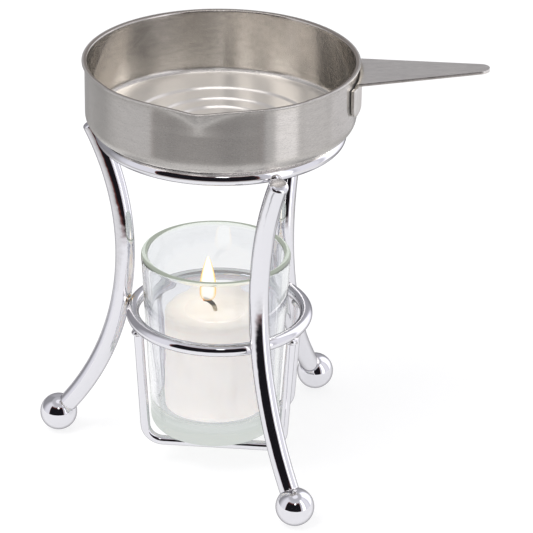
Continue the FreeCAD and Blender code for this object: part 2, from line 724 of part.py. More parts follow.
def make_glass_cup(doc):
    """The candle cup: tapered, with a thick floor, rounded edges and a shallow punt below."""
    body = new_body(doc, "glass_cup", at("sizes.glass_shift", "fits.glass_base"))
    drawing = Drawing(body, "cup_profile", "XZ_Plane")
    slope = "(sizes.glass_rim_radius - sizes.glass_base_radius) / sizes.glass_height"
    inner_base = f"sizes.glass_base_radius - sizes.glass_wall + sizes.glass_floor * {slope}"
    cup = revolve(body, drawing.outline([
        ("0", "sizes.glass_punt_depth"),
        ("sizes.glass_punt_flat", "sizes.glass_punt_depth"),
        ("sizes.glass_punt_radius", "0"),
        ("sizes.glass_base_radius", "0"),
        ("sizes.glass_rim_radius", "sizes.glass_height"),
        ("sizes.glass_rim_radius - sizes.glass_wall", "sizes.glass_height"),
        (inner_base, "sizes.glass_floor"),
        ("0", "sizes.glass_floor")]), "cup_form")
    height = drawing.value("sizes.glass_height")
    rim = drawing.value("sizes.glass_rim_radius")
    wall = drawing.value("sizes.glass_wall")
    rounded = fillet(body, cup, "cup_rim", rings_at(cup, [(rim, height), (rim - wall, height)]),
                     "fits.glass_round")
    base = rings_at(rounded, [(drawing.value("sizes.glass_base_radius"), 0)])
    rounded = fillet(body, rounded, "cup_base", base, "sizes.glass_base_round")
    floor = rings_at(rounded, [(drawing.value(inner_base), drawing.value("sizes.glass_floor"))])
    fillet(body, rounded, "cup_floor", floor, "sizes.glass_floor_round")
    return body


CANDLE_PLACE = at("sizes.glass_shift", "fits.wax_base")


def make_wick(doc):
    """The wick: straight up through the wax, then curled over at its burnt end."""
    body = new_body(doc, "candle_wick", CANDLE_PLACE)
    path = Drawing(body, "wick_path", "XZ_Plane")
    stand = path.value("sizes.wick_stand")
    curl = path.value("sizes.wick_curl")
    turn = math.radians(path.value("sizes.wick_curl_angle"))
    straight = path.line(Vector(0, 0, 0), Vector(0, stand, 0))
    bent = path.arc("-sizes.wick_curl", "sizes.wick_stand", "sizes.wick_curl", 0, turn)
    path.tie("Coincident", straight, START, ORIGIN, START)
    path.place(bent, CENTRE, "-sizes.wick_curl", "sizes.wick_stand")
    path.tie("Coincident", straight, END, bent, START)
    path.place(straight, END, "0", "sizes.wick_stand")
    path.bind("DistanceY", bent, START, bent, END,
              to="sizes.wick_curl * sin(sizes.wick_curl_angle * 1deg)")
    section = Drawing(body, "wick_section", "XY_Plane")
    section.circle("0", "0", "sizes.wick_diameter / 2")
    doc.recompute()
    pipe = body.newObject("PartDesign::AdditivePipe", "wick_sweep")
    pipe.Profile = section.sketch
    pipe.Spine = (path.sketch, ["Edge1", "Edge2"])
    doc.recompute()
    return body


def make_sustainer(doc):
    """The tin foot: a thin disc under the wax with a neck crimped round the wick."""
    body = new_body(doc, "wick_sustainer", CANDLE_PLACE)
    drawing = Drawing(body, "tin_profile", "XZ_Plane")
    revolve(body, drawing.outline([
        ("sizes.wick_diameter / 2", "0"),
        ("sizes.tin_diameter / 2", "0"),
        ("sizes.tin_diameter / 2", "sizes.tin_thickness"),
        ("sizes.tin_neck_diameter / 2", "sizes.tin_thickness"),
        ("sizes.tin_neck_diameter / 2", "sizes.tin_neck_height"),
        ("sizes.wick_diameter / 2", "sizes.tin_neck_height")]), "tin_form")
    return body


def make_wax(doc, wick, tin):
    """The wax, with a shallow pool round the wick, cast round the wick and its tin foot."""
    body = new_body(doc, "wax_block", CANDLE_PLACE)
    drawing = Drawing(body, "wax_profile", "XZ_Plane")
    block = revolve(body, drawing.outline([
        ("0", "0"),
        ("sizes.wax_radius", "0"),
        ("sizes.wax_radius", "sizes.wax_height"),
        ("sizes.pool_radius", "sizes.wax_height"),
        ("sizes.pool_flat", "sizes.wax_height - sizes.pool_depth"),
        ("0", "sizes.wax_height - sizes.pool_depth")]), "wax_form")
    radius = drawing.value("sizes.wax_radius")
    height = drawing.value("sizes.wax_height")
    edges = rings_at(block, [(radius, 0), (radius, height)])
    fillet(body, block, "wax_edges", edges, "sizes.wax_edge")
    core = doc.addObject("Part::MultiFuse", "wax_core")
    core.Shapes = [wick, tin]
    wax = doc.addObject("Part::Cut", "candle_wax")
    wax.Base = body
    wax.Tool = core
    return wax


def make_parts(doc):
    """Build every sub-part and return them in order."""
    parts = [make_pan_bowl(doc), make_pan_handle(doc), make_spot_welds(doc)]
    top_ring = make_ring(doc, "top_ring", "top", RING_RADII["top"])
    lower_ring = make_ring(doc, "lower_ring", "lower", RING_RADII["lower"])
    legs = {place: make_leg(doc, place) for place in LEGS}
    feet = [make_foot(doc, place, legs[place]) for place in LEGS]
    wires = [make_basket_wire(doc, place, side, lower_ring) for place, side in BASKET_SIDES]
    parts += [top_ring, lower_ring, *legs.values(), *feet, *wires]

    parts.append(make_leg_welds(doc, "top", top_ring, legs))
    parts.append(make_leg_welds(doc, "lower", lower_ring, legs))
    parts.append(make_basket_welds(doc, lower_ring, wires))

    wick = make_wick(doc)
    tin = make_sustainer(doc)
    parts += [make_glass_cup(doc), make_wax(doc, wick, tin), wick, tin]
    return parts


def check(doc, parts):
    """Stop if any object failed or any sub-part has no sound solid."""
    for item in doc.Objects:
        if "Invalid" in item.State or "Error" in item.State:
            raise RuntimeError(f"{item.Name} failed: {item.State}")
    for part in parts:
        if part.Shape.isNull() or not part.Shape.isValid() or not part.Shape.Solids:
            raise RuntimeError(f"{part.Label} has no sound solid")


def main():
    doc = FreeCAD.newDocument("butter_warmer")
    make_sizes(doc)
    make_fits(doc)
    parts = make_parts(doc)
    doc.recompute()
    check(doc, parts)
    os.makedirs("parts", exist_ok=True)
    for part in parts:
        part.Shape.exportStep(f"parts/{part.Label}.step")
        box = part.Shape.BoundBox
        print(f"{part.Label}: {len(part.Shape.Solids)} solids, {part.Shape.Volume:.1f} mm3,"
              f" z {box.ZMin:.2f} to {box.ZMax:.2f}")


main()
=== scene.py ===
import math

import bmesh
import bpy
from mathutils import Matrix, Vector


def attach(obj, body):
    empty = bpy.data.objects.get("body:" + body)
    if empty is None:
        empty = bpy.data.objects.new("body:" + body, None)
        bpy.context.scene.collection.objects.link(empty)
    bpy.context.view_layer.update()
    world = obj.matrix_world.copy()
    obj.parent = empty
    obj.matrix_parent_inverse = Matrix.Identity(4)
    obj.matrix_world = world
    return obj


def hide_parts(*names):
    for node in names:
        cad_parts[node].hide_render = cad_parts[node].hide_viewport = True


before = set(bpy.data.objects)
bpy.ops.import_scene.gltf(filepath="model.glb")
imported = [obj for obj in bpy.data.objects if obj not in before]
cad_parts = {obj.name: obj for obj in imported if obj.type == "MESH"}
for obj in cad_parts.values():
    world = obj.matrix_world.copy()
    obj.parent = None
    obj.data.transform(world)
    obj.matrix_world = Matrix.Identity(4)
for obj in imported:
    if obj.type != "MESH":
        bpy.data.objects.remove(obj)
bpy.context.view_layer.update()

MM = 0.001

# Sizes of the object, in millimetres, as in the CAD model.
PAN_BASE = 120.2
PAN_RIM = 143.1
WALL_RADIUS = 44.1
WALL = 0.8
LIP_REACH = 0.9
LIP_HEIGHT = 1.0
CORNER = 5.0
INNER_CORNER = 2.2
PAN_TURN = -3.0
SPOUT_TURN = -96.0
SPOUT_REACH = 3.6
SPOUT_NOSE = 5.0
SPOUT_DEPTH = 8.0
SPOUT_BITE = 0.2
FLOOR_RINGS = (30.0, 22.5, 17.0)
FLOOR_STEP = 0.7
FLOOR_RISER = 0.9
TAB_GAP = 0.4
SHEET = 1.0
TAB_TOP = 140.0
TAB_BOTTOM = 128.7
TAB_HALF_ANGLE = 18.5
TAB_CORNER = 4.0
HANDLE_RISE = 3.45
HANDLE_REACH = 86.5
HANDLE_ROOT_WIDTH = 21.5
HANDLE_TIP = 3.4
TOP_RING = (38.7, 117.85, 2.3)
LOWER_RING = (29.1, 52.2, 2.1)
ROD = 3.25
ROD_END_ROUND = 0.9
LEG_BEND = 97.0
LEG_TURNS = {"left": 168.0, "front": -66.5, "rear": 48.0}
LEG_SWINGS = {"left": -4.0, "front": 7.0, "rear": 12.0}
LEG_RISE = -1.3
WELD_SINK = 0.4
BALL = 6.35
BASKET_WIRE = 1.6
BASKET_OFFSET = 14.0
BASKET_TURN = -6.0
BASKET_LINE = 9.4
BASKET_HALF = 23.3
BASKET_BEND = 6.0
GLASS_X = -1.3
GLASS_BASE = 11.05
GLASS_HEIGHT = 63.2
GLASS_RIM = 25.0
GLASS_FOOT = 21.5
GLASS_WALL = 2.3
GLASS_FLOOR = 7.6
GLASS_PUNT = (12.4, 14.0, 0.8)
WAX_BASE = 18.65
WAX_RADIUS = 17.0
WAX_HEIGHT = 35.2
POOL_RADIUS = 12.0
POOL_DEPTH = 1.0
FLAME_X = -3.9
FLAME_BASE = 57.0
FLAME_TIP = 72.6
FLAME_WIDTH = 3.1

# How the handle's sheet is divided: rows up its tab, round its bend, along its grip and round its
# tip, columns on each side of its middle, and columns in each wing of the tab. Then the bend, the
# wings' rise into it, the tip's distance from the full reach, and the sheet's eased edges.
TAB_ROWS, BEND_ROWS, GRIP_ROWS, TIP_ROWS = 12, 8, 30, 6
HALF_COLUMNS = 14
WING_COLUMNS = 5
TAB_BEND = 1.3
WING_LIFT = 0.4
TIP_INSET = 0.13
SIDE_EASE = 0.98
EDGE_EASE = 0.16

# The steps along a leg and round its end, and up, round and along half of a basket wire.
LEG_STEPS, END_STEPS = 120, 16
BASKET_STEPS = (24, 14, 10)

# Where the dish of the melted pool has come down to its floor.
POOL_FOOT = 9.0

# The half sizes of the weld beads, across twice and along their aim.
RING_BEAD = (2.1, 2.1, 1.15)
WIRE_BEAD = (2.35, 2.35, 1.5)
LUMP = (1.5, 1.5, 0.9)
LUMP_PLACES = (-2.6, 2.3, 3.6)

# Each steel's colour, roughness and anisotropy, and its brushing: how fine it is along and across
# its lines, and how deep.
PAN_STEEL = ((0.60, 0.575, 0.55), 0.2, 1.0, 260.0, 3600.0, 0.25)
HANDLE_STEEL = ((0.68, 0.655, 0.63), 0.33, 0.6, 400.0, 2600.0, 0.3)
LINES_ROUND = 0.25

# The pan's scattered light: its colour, and its share of the surface.
MATT_OUTSIDE, OUTSIDE_SHARE = (0.34, 0.33, 0.32), 0.34
MATT_WALL, WALL_SHARE = (0.30, 0.27, 0.23), 0.05
MATT_FLOOR, FLOOR_SHARE, FLOOR_SHARE_MIRRORED = (0.74, 0.71, 0.68), 0.30, 0.08
# A thin dark line painted on the rim's inner edge, as painted shade.
PAINTED_RIM_SHADE = (0.10, 0.08, 0.07)

CHROME = (0.74, 0.735, 0.77)
# The dark outline painted on chrome where it turns away from view, as a painted reflection of dark
# surroundings.
PAINTED_CHROME_OUTLINE = (0.09, 0.08, 0.10)
GLASS_CLEAR = (0.90, 0.90, 0.925)
GLASS_EDGE = (0.87, 0.93, 0.85)
GLASS_HAZE = (0.82, 0.825, 0.855)
HAZE_FROM, HAZE_TO = 50, 60
# Painted light: the emission colours that make the glass's rim and thick foot glow.
PAINTED_RIM_LIGHT = (0.86, 0.94, 0.80)
PAINTED_FOOT_LIGHT = (0.62, 0.66, 0.63)
WHITE = (1.0, 1.0, 1.0)


# ---- Node building ----

class Graph:
    """Short calls to build a node tree; a term is a number, a tuple or an output socket."""

    def __init__(self, tree):
        self.tree = tree
        tree.nodes.clear()

    def feed(self, socket, term):
        """Link a term to a socket or set it there; a colour may leave out its alpha."""
        if isinstance(term, bpy.types.NodeSocket):
            self.tree.links.new(term, socket)
        elif socket.type == "RGBA" and len(term) == 3:
            socket.default_value = (*term, 1.0)
        else:
            socket.default_value = term

    def feed_all(self, sockets, terms):
        for socket, term in zip(sockets, terms):
            self.feed(socket, term)

    def add(self, kind, terms=None, **settings):
        node = self.tree.nodes.new(kind)
        for name, value in settings.items():
            setattr(node, name, value)
        for key, term in (terms or {}).items():
            self.feed(node.inputs[key], term)
        return node

    def math(self, operation, *terms):
        node = self.add("ShaderNodeMath", operation=operation)
        self.feed_all(node.inputs, terms)
        return node.outputs[0]

    def times(self, first, second):
        return self.math("MULTIPLY", first, second)

    def vector(self, operation, *terms, scale=None):
        node = self.add("ShaderNodeVectorMath", operation=operation)
        self.feed_all(node.inputs, terms)
        if scale is not None:
            self.feed(node.inputs["Scale"], scale)
        value = operation in ("LENGTH", "DOT_PRODUCT", "DISTANCE")
        return node.outputs["Value" if value else "Vector"]

    def axis(self, vector, name):
        return self.add("ShaderNodeSeparateXYZ", {0: vector}).outputs[name]

    def object_place(self):
        """The object's own coordinates, in metres."""
        return self.add("ShaderNodeTexCoord").outputs["Object"]

    def step(self, value, low, high, start=0.0, end=1.0):
        """A smooth step of the value from start, below low, to end, above high."""
        node = self.add("ShaderNodeMapRange", interpolation_type="SMOOTHSTEP")
        self.feed_all(node.inputs, (value, low, high, start, end))
        return node.outputs["Result"]

    def blend(self, factor, first, second):
        """Mix two colours."""
        node = self.add("ShaderNodeMix", {0: factor}, data_type="RGBA")
        self.feed_all(node.inputs[6:8], (first, second))
        return node.outputs[2]

    def number(self, factor, first, second):
        """Mix two numbers."""
        node = self.add("ShaderNodeMix", {0: factor}, data_type="FLOAT")
        self.feed_all(node.inputs[2:4], (first, second))
        return node.outputs[0]

    def ramp(self, value, first, middle, last):
        """A colour that runs through three (value, colour) stops."""
        node = self.add("ShaderNodeValToRGB", {"Fac": value})
        elements = node.color_ramp.elements
        for element, (spot, colour) in zip(elements, (first, last)):
            element.position = spot
            element.color = (*colour, 1.0)
        elements.new(middle[0]).color = (*middle[1], 1.0)
        return node.outputs[0]

    def noise(self, place, scale, detail=2.0, roughness=0.5):
        return self.add("ShaderNodeTexNoise", {
            "Vector": place, "Scale": scale, "Detail": detail, "Roughness": roughness}).outputs["Fac"]

    def bump(self, strength, height, distance):
        """A normal that follows a height whose full range is the distance, in millimetres."""
        return self.add("ShaderNodeBump", {
            "Strength": strength, "Height": height, "Distance": distance * MM}).outputs[0]

    def facing(self, blend):
        return self.add("ShaderNodeLayerWeight", {"Blend": blend}).outputs["Facing"]

    def light_path(self):
        return self.add("ShaderNodeLightPath").outputs

    def group(self, tree, terms):
        return self.add("ShaderNodeGroup", terms, node_tree=tree).outputs

    def shader(self, kind, terms=None):
        return self.add("ShaderNode" + kind, terms).outputs[0]

    def geometry(self, kind, terms=None, **settings):
        return self.add("GeometryNode" + kind, terms, **settings).outputs[0]

    def from_points(self, name, kind):
        """A named attribute of the points."""
        return self.geometry("InputNamedAttribute", {"Name": name}, data_type=kind)

    def shader_mix(self, factor, first, second):
        return self.shader("MixShader", {0: factor, 1: first, 2: second})


def scaled(parts, share):
    return tuple(share * part for part in parts)


def node_group(kind, name, inputs, outputs):
    """A shared node group and its graph, with named sockets."""
    tree = bpy.data.node_groups.new(name, kind)
    for label, socket_kind, value in inputs:
        socket = tree.interface.new_socket(
            name=label, in_out="INPUT", socket_type="NodeSocket" + socket_kind)
        if value is not None:
            socket.default_value = value
    for label, socket_kind in outputs:
        tree.interface.new_socket(name=label, in_out="OUTPUT", socket_type="NodeSocket" + socket_kind)
    graph = Graph(tree)
    return tree, graph, graph.add("NodeGroupInput").outputs, graph.add("NodeGroupOutput").inputs


def make_brushing_group():
    """Fine lines that run along the first texture axis, as a value and a bumped normal."""
    tree, graph, take, give = node_group(
        "ShaderNodeTree", "brushing",
        [("Place", "Vector", None), ("Along", "Float", 30.0),
         ("Across", "Float", 3000.0), ("Depth", "Float", 0.1)],
        [("Lines", "Float"), ("Normal", "Vector")])
    stretch = graph.add("ShaderNodeCombineXYZ", {0: take["Along"], 1: take["Across"], 2: 1.0})
    fine = graph.vector("MULTIPLY", take["Place"], stretch.outputs[0])
    lines = graph.noise(fine, 1.0, 3.0, 0.65)
    broad = graph.noise(graph.vector("SCALE", fine, scale=0.21), 1.0)
    both = graph.number(0.35, lines, broad)
    graph.feed(give["Lines"], both)
    graph.feed(give["Normal"], graph.bump(take["Depth"], both, 0.02))
    return tree


def make_handling_group():
    """Soft smudges from handling, as a mask from 0 to 1."""
    tree, graph, take, give = node_group(
        "ShaderNodeTree", "handling",
        [("Place", "Vector", None), ("Size", "Float", 0.012)],
        [("Mask", "Float")])
    broad = graph.noise(take["Place"], graph.math("DIVIDE", 1.0, take["Size"]), 4.0, 0.6)
    graph.feed(give["Mask"], graph.step(broad, 0.45, 0.72))
    return tree


def make_heat_group():
    """Straw to brown heat colour round one point, as a colour and a mask."""
    tree, graph, take, give = node_group(
        "ShaderNodeTree", "heat_tint",
        [("Place", "Vector", None), ("Centre", "Vector", None),
         ("Reach", "Float", 4 * MM)],
        [("Color", "Color"), ("Mask", "Float")])
    away = graph.vector("DISTANCE", take["Place"], take["Centre"])
    rough = graph.noise(take["Place"], 900.0, 3.0)
    share = graph.math("DIVIDE", away, take["Reach"])
    ragged = graph.math("ADD", share, graph.math("MULTIPLY_ADD", rough, 0.7, -0.35))
    graph.feed(give["Color"], graph.ramp(ragged, (0.1, (0.30, 0.13, 0.05)), (0.5, (0.66, 0.46, 0.20)),
                                         (0.95, (0.86, 0.80, 0.66))))
    graph.feed(give["Mask"], graph.step(ragged, 1.0, 0.35))
    return tree


BRUSHING = make_brushing_group()
HANDLING = make_handling_group()
HEAT = make_heat_group()


# ---- Materials ----

def new_material(name):
    material = bpy.data.materials.new(name)
    material.use_nodes = True
    return material, Graph(material.node_tree)


def close_material(material, graph, shader):
    graph.add("ShaderNodeOutputMaterial", {"Surface": shader})
    return material


def steel_material(name, steel, inside=None):
    """Brushed steel, with its lines along the U direction of its own texture map.

    The pan's also gets a dark line painted on its rim as painted shade, and its scattered light, from the
    place on the map's V where its section turns inside.
    """
    colour, roughness, anisotropy, along, across, depth = steel
    material, graph = new_material(name)
    uv = graph.add("ShaderNodeUVMap", uv_map="lay").outputs[0]
    place = graph.object_place()
    lines = graph.group(BRUSHING, {"Place": uv, "Along": along, "Across": across, "Depth": depth})
    smudge = graph.group(HANDLING, {"Place": place, "Size": 0.014})[0]
    tangent = graph.add("ShaderNodeTangent", direction_type="UV_MAP", uv_map="lay").outputs[0]
    tone = graph.blend(graph.step(lines["Lines"], 0.35, 0.68), colour, scaled(colour, 0.8))
    tone = graph.blend(graph.times(smudge, 0.35), tone, scaled(colour, 0.9))
    shader = graph.shader("BsdfPrincipled", {
        "Base Color": tone, "Metallic": 1.0, "Anisotropic": anisotropy,
        "Roughness": graph.math("ADD", roughness, graph.times(smudge, 0.05)),
        "Anisotropic Rotation": LINES_ROUND, "Normal": lines["Normal"], "Tangent": tangent})
    if inside is not None:
        shader = pan_rim_shade_and_matt(graph, shader, uv, place, lines["Normal"], inside)
    return close_material(material, graph, shader)


def pan_rim_shade_and_matt(graph, shader, uv, place, normal, inside):
    """A dark line painted on the rim as painted shade, and scattered light outside, on the inner wall and
    the floor.
    """
    run = graph.axis(uv, "Y")
    from_rim = graph.math("ABSOLUTE", graph.math("SUBTRACT", run, (inside + 0.9) * MM))
    # A thin dark line painted at the rim's inner edge, as painted shade, mixed in as a dark diffuse.
    painted_rim_shade_mask = graph.times(graph.step(from_rim, 0.6 * MM, 0.3 * MM), 0.6)
    shader = graph.shader_mix(painted_rim_shade_mask, shader, graph.shader("BsdfDiffuse", {"Color": PAINTED_RIM_SHADE}))
    within = graph.step(run, inside * MM, (inside + 0.6) * MM)
    low = graph.step(graph.axis(place, "Z"), (PAN_BASE + 3.0) * MM, (PAN_BASE + 1.6) * MM)
    floor = graph.times(within, low)
    tone = graph.blend(floor, graph.blend(within, MATT_OUTSIDE, MATT_WALL), MATT_FLOOR)
    mirrored = graph.light_path()["Is Glossy Ray"]
    share = graph.number(floor, graph.number(within, OUTSIDE_SHARE, WALL_SHARE),
                         graph.number(mirrored, FLOOR_SHARE, FLOOR_SHARE_MIRRORED))
    matt = graph.shader("BsdfDiffuse", {"Color": tone, "Normal": normal})
    return graph.shader_mix(share, shader, matt)


def chrome_material():
    """Bright chrome over wire that is not quite true, browned by heat at one weld, with a dark outline
    painted where it turns away, as a painted reflection.
    """
    material, graph = new_material("bright_chrome")
    place = graph.object_place()
    smudge = graph.group(HANDLING, {"Place": place, "Size": 0.009})[0]
    spot = turned((LOWER_RING[0] + LOWER_RING[2], 0.0, LOWER_RING[1] + 1.0), LEG_TURNS["left"])
    heat = graph.group(HEAT, {"Place": place, "Centre": scaled(spot, MM), "Reach": 3.2 * MM})
    pits = graph.times(graph.noise(place, 1500.0), 0.02)
    shader = graph.shader("BsdfPrincipled", {
        "Base Color": graph.blend(heat["Mask"], CHROME, heat["Color"]), "Metallic": 1.0,
        "Roughness": graph.math("MULTIPLY_ADD", smudge, 0.05, 0.035),
        "Normal": graph.bump(0.35, graph.math("ADD", graph.noise(place, 160.0), pits), 0.22)})
    # A dark outline painted where the chrome turns away from view: a painted reflection.
    edge = graph.times(graph.step(graph.facing(0.5), 0.46, 0.92), 0.75)
    dark = graph.shader("BsdfDiffuse", {"Color": PAINTED_CHROME_OUTLINE})
    return close_material(material, graph, graph.shader_mix(edge, shader, dark))


def weld_material():
    """Plated weld metal: bright, but rippled and pitted."""
    material, graph = new_material("weld_chrome")
    ripple = graph.noise(graph.object_place(), 700.0, 4.0, 0.6)
    tone = graph.blend(graph.step(ripple, 0.35, 0.65), (0.42, 0.40, 0.40), (0.80, 0.80, 0.83))
    return close_material(material, graph, graph.shader("BsdfPrincipled", {
        "Base Color": tone, "Metallic": 1.0, "Roughness": 0.12, "Normal": graph.bump(0.6, ripple, 0.3)}))


def glass_material():
    """Clear pressed glass, greenish at its edges and hazed above the candle, with painted light glowing
    green at its rim and in its foot.
    """
    material, graph = new_material("clear_glass")
    place = graph.object_place()
    height = graph.axis(place, "Z")
    rim, floor = GLASS_BASE + GLASS_HEIGHT, GLASS_BASE + GLASS_FLOOR
    near_rim = graph.step(height, (rim - 1.3) * MM, (rim - 0.2) * MM)
    in_floor = graph.step(height, (floor - 0.5) * MM, (floor - 2.0) * MM)
    tone = graph.blend(graph.step(graph.facing(0.35), 0.6, 1.0), GLASS_CLEAR, GLASS_EDGE)
    tone = graph.blend(graph.step(height, HAZE_FROM * MM, HAZE_TO * MM), tone, GLASS_HAZE)
    wave = graph.noise(graph.vector("MULTIPLY", place, (1.0, 1.0, 0.35)), 110.0)
    shader = graph.shader("BsdfPrincipled", {
        "Base Color": tone, "Roughness": 0.01, "IOR": 1.48, "Transmission Weight": 1.0,
        "Normal": graph.bump(0.25, wave, 0.4)})
    # The rim and the thick floor glow with painted light, mixed in as emission.
    for zone, share, painted_glow in ((near_rim, 0.42, PAINTED_RIM_LIGHT), (in_floor, 0.75, PAINTED_FOOT_LIGHT)):
        shader = graph.shader_mix(graph.times(zone, share), shader,
                                  graph.shader("Emission", {"Color": painted_glow}))
    return close_material(material, graph, shader)


def wax_material():
    """White wax that glows all over with painted light, warmer and brighter near the flame, and wet in
    its pool.
    """
    material, graph = new_material("candle_wax")
    place = graph.object_place()
    top = WAX_BASE + WAX_HEIGHT
    away = graph.vector("DISTANCE", place, (FLAME_X * MM, 0.0, top * MM))
    painted_glow = graph.step(away, 26 * MM, 3 * MM)
    cloud = graph.noise(place, 140.0, 4.0, 0.6)
    sunk = graph.step(graph.axis(place, "Z"), (top - 0.2) * MM, (top - 0.7) * MM)
    wet = graph.times(sunk, graph.step(away, 13.5 * MM, 11.5 * MM))
    return close_material(material, graph, graph.shader("BsdfPrincipled", {
        "Base Color": graph.blend(graph.step(cloud, 0.35, 0.7), (0.88, 0.86, 0.83), (0.80, 0.78, 0.75)),
        "Roughness": graph.math("MULTIPLY_ADD", wet, -0.4, 0.48),
        "Subsurface Weight": 0.5, "Subsurface Scale": 0.006, "Subsurface Radius": (1.0, 0.8, 0.6),
        "Normal": graph.bump(graph.math("MULTIPLY_ADD", wet, -0.3, 0.3), cloud, 0.5),
        # The emission is painted light: the whole wax glows, warmer and brighter near the flame.
        "Emission Color": graph.blend(painted_glow, (1.0, 0.93, 0.90), (1.0, 0.88, 0.74)),
        "Emission Strength": graph.math("MULTIPLY_ADD", painted_glow, 0.1, 0.46)}))


def wick_material():
    """Cotton below, charred above, with an ember at the curled tip."""
    material, graph = new_material("wick_cotton")
    place = graph.object_place()
    weave = graph.add("ShaderNodeTexWave", {"Vector": place, "Scale": 420.0, "Distortion": 2.0},
                      bands_direction="DIAGONAL").outputs["Fac"]
    char = graph.step(graph.axis(place, "Z"), 54.2 * MM, 55.6 * MM)
    cotton = graph.blend(weave, (0.62, 0.55, 0.44), (0.42, 0.35, 0.26))
    burnt = graph.blend(weave, (0.018, 0.013, 0.010), (0.05, 0.035, 0.028))
    ember = graph.step(graph.axis(place, "X"), (GLASS_X - 3.6) * MM, (GLASS_X - 4.4) * MM)
    return close_material(material, graph, graph.shader("BsdfPrincipled", {
        "Base Color": graph.blend(char, cotton, burnt), "Roughness": 0.85,
        "Normal": graph.bump(0.6, weave, 0.15),
        "Emission Color": (1.0, 0.35, 0.08), "Emission Strength": graph.times(ember, 1.6)}))


def tin_material():
    """Thin tinplate, faintly rolled."""
    material, graph = new_material("wick_tin")
    rolled = graph.noise(graph.vector("MULTIPLY", graph.object_place(), (40.0, 1.0, 1.0)), 60.0, 3.0)
    return close_material(material, graph, graph.shader("BsdfPrincipled", {
        "Base Color": (0.62, 0.62, 0.63), "Metallic": 1.0,
        "Roughness": graph.math("MULTIPLY_ADD", rolled, 0.1, 0.25),
        "Normal": graph.bump(0.2, rolled, 0.05)}))


def flame_material():
    """The flame: white in the middle, yellow then orange at its edges, thin at its foot."""
    material, graph = new_material("flame")
    facing = graph.facing(0.5)
    colour = graph.ramp(facing, (0.3, (1.0, 0.98, 0.90)), (0.55, (1.0, 0.80, 0.34)),
                        (0.85, (1.0, 0.42, 0.10)))
    mirrored = graph.light_path()["Is Reflection Ray"]
    light = graph.shader("Emission", {"Color": colour, "Strength": graph.number(mirrored, 1.25, 2.2)})
    height = graph.axis(graph.object_place(), "Z")
    foot = graph.step(height, (FLAME_BASE + 4.0) * MM, FLAME_BASE * MM)
    thin = graph.times(graph.step(facing, 0.72, 1.0), 0.5)
    fade = graph.math("MAXIMUM", thin, graph.times(foot, 0.7))
    return close_material(material, graph,
                          graph.shader_mix(fade, light, graph.shader("BsdfTransparent")))


# ---- Geometry ----

def in_metres(point):
    return tuple(MM * part for part in point)


def on_round(out, turn, height):
    return (out * math.cos(turn), out * math.sin(turn), height)


def turned(point, degrees):
    """A point turned about the stand's axis."""
    turn = math.radians(degrees)
    x, y, z = point
    return (x * math.cos(turn) - y * math.sin(turn), x * math.sin(turn) + y * math.cos(turn), z)


def link_object(name, data):
    thing = bpy.data.objects.new(name, data)
    bpy.context.scene.collection.objects.link(thing)
    return thing


def new_object(name, mesh, material):
    piece = link_object(name, mesh)
    if material is not None and not mesh.materials:
        mesh.materials.append(material)
    return piece


def settle(piece, body, nodes=()):
    """Face the piece's normals outward, then hang it on its body's empty and hide the CAD nodes that it
    stands for.
    """
    shape = bmesh.new()
    shape.from_mesh(piece.data)
    bmesh.ops.recalc_face_normals(shape, faces=shape.faces)
    shape.to_mesh(piece.data)
    shape.free()
    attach(piece, body)
    if nodes:
        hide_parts(*nodes)


def grid_mesh(name, rows, closed, lay=None):
    """Faces over rows of points in millimetres; each row is an open line or a closed ring."""
    count = len(rows[0])
    points = [in_metres(point) for row in rows for point in row]
    faces = []
    corners = []
    last = count if closed else count - 1
    for i in range(len(rows) - 1):
        for j in range(last):
            k = (j + 1) % count
            faces.append((i * count + j, i * count + k, (i + 1) * count + k, (i + 1) * count + j))
            corners.append(((i, j), (i, j + 1), (i + 1, j + 1), (i + 1, j)))
    mesh = bpy.data.meshes.new(name)
    mesh.from_pydata(points, [], faces)
    mesh.polygons.foreach_set("use_smooth", [True] * len(faces))
    if lay is not None:
        layer = mesh.uv_layers.new(name="lay")
        for number, spots in enumerate(corners):
            for corner, (i, j) in enumerate(spots):
                layer.data[4 * number + corner].uv = lay(i, j)
    return mesh


def lathe(name, profile, segments, centre=(0.0, 0.0), reach=None):
    """Turn a profile of (radius, height) points about a vertical axis."""
    rows = []
    for index, (radius, height) in enumerate(profile):
        row = []
        for n in range(segments):
            turn = 2 * math.pi * n / segments
            out = radius if reach is None else reach(index, radius, height, turn)
            row.append((centre[0] + out * math.cos(turn), centre[1] + out * math.sin(turn), height))
        rows.append(row)
    run = [0.0]
    for (r0, z0), (r1, z1) in zip(profile, profile[1:]):
        run.append(run[-1] + math.hypot(r1 - r0, z1 - z0))

    def lay(i, j):
        return (j / segments, MM * run[i])

    mesh = grid_mesh(name, rows, True, lay)
    shape = bmesh.new()
    shape.from_mesh(mesh)
    bmesh.ops.remove_doubles(shape, verts=shape.verts, dist=1e-7)
    shape.to_mesh(mesh)
    shape.free()
    return mesh


def arc_points(centre, radius, start, end, count):
    """Points on an arc in a profile plane, with its angles in degrees."""
    points = []
    for n in range(count + 1):
        angle = math.radians(start + (end - start) * n / count)
        points.append((centre[0] + radius * math.cos(angle), centre[1] + radius * math.sin(angle)))
    return points


def soft_corner(before, corner, after, radius, count=4):
    """A corner of a profile, rounded between its two edges by a curve of that reach."""
    corner = Vector(corner)
    ways = []
    for other in (before, after):
        way = Vector(other) - corner
        ways.append(corner + way.normalized() * min(radius, 0.48 * way.length))
    points = []
    for n in range(count + 1):
        t = n / count
        point = (1 - t) ** 2 * ways[0] + 2 * t * (1 - t) * corner + t ** 2 * ways[1]
        points.append((point.x, point.y))
    return points


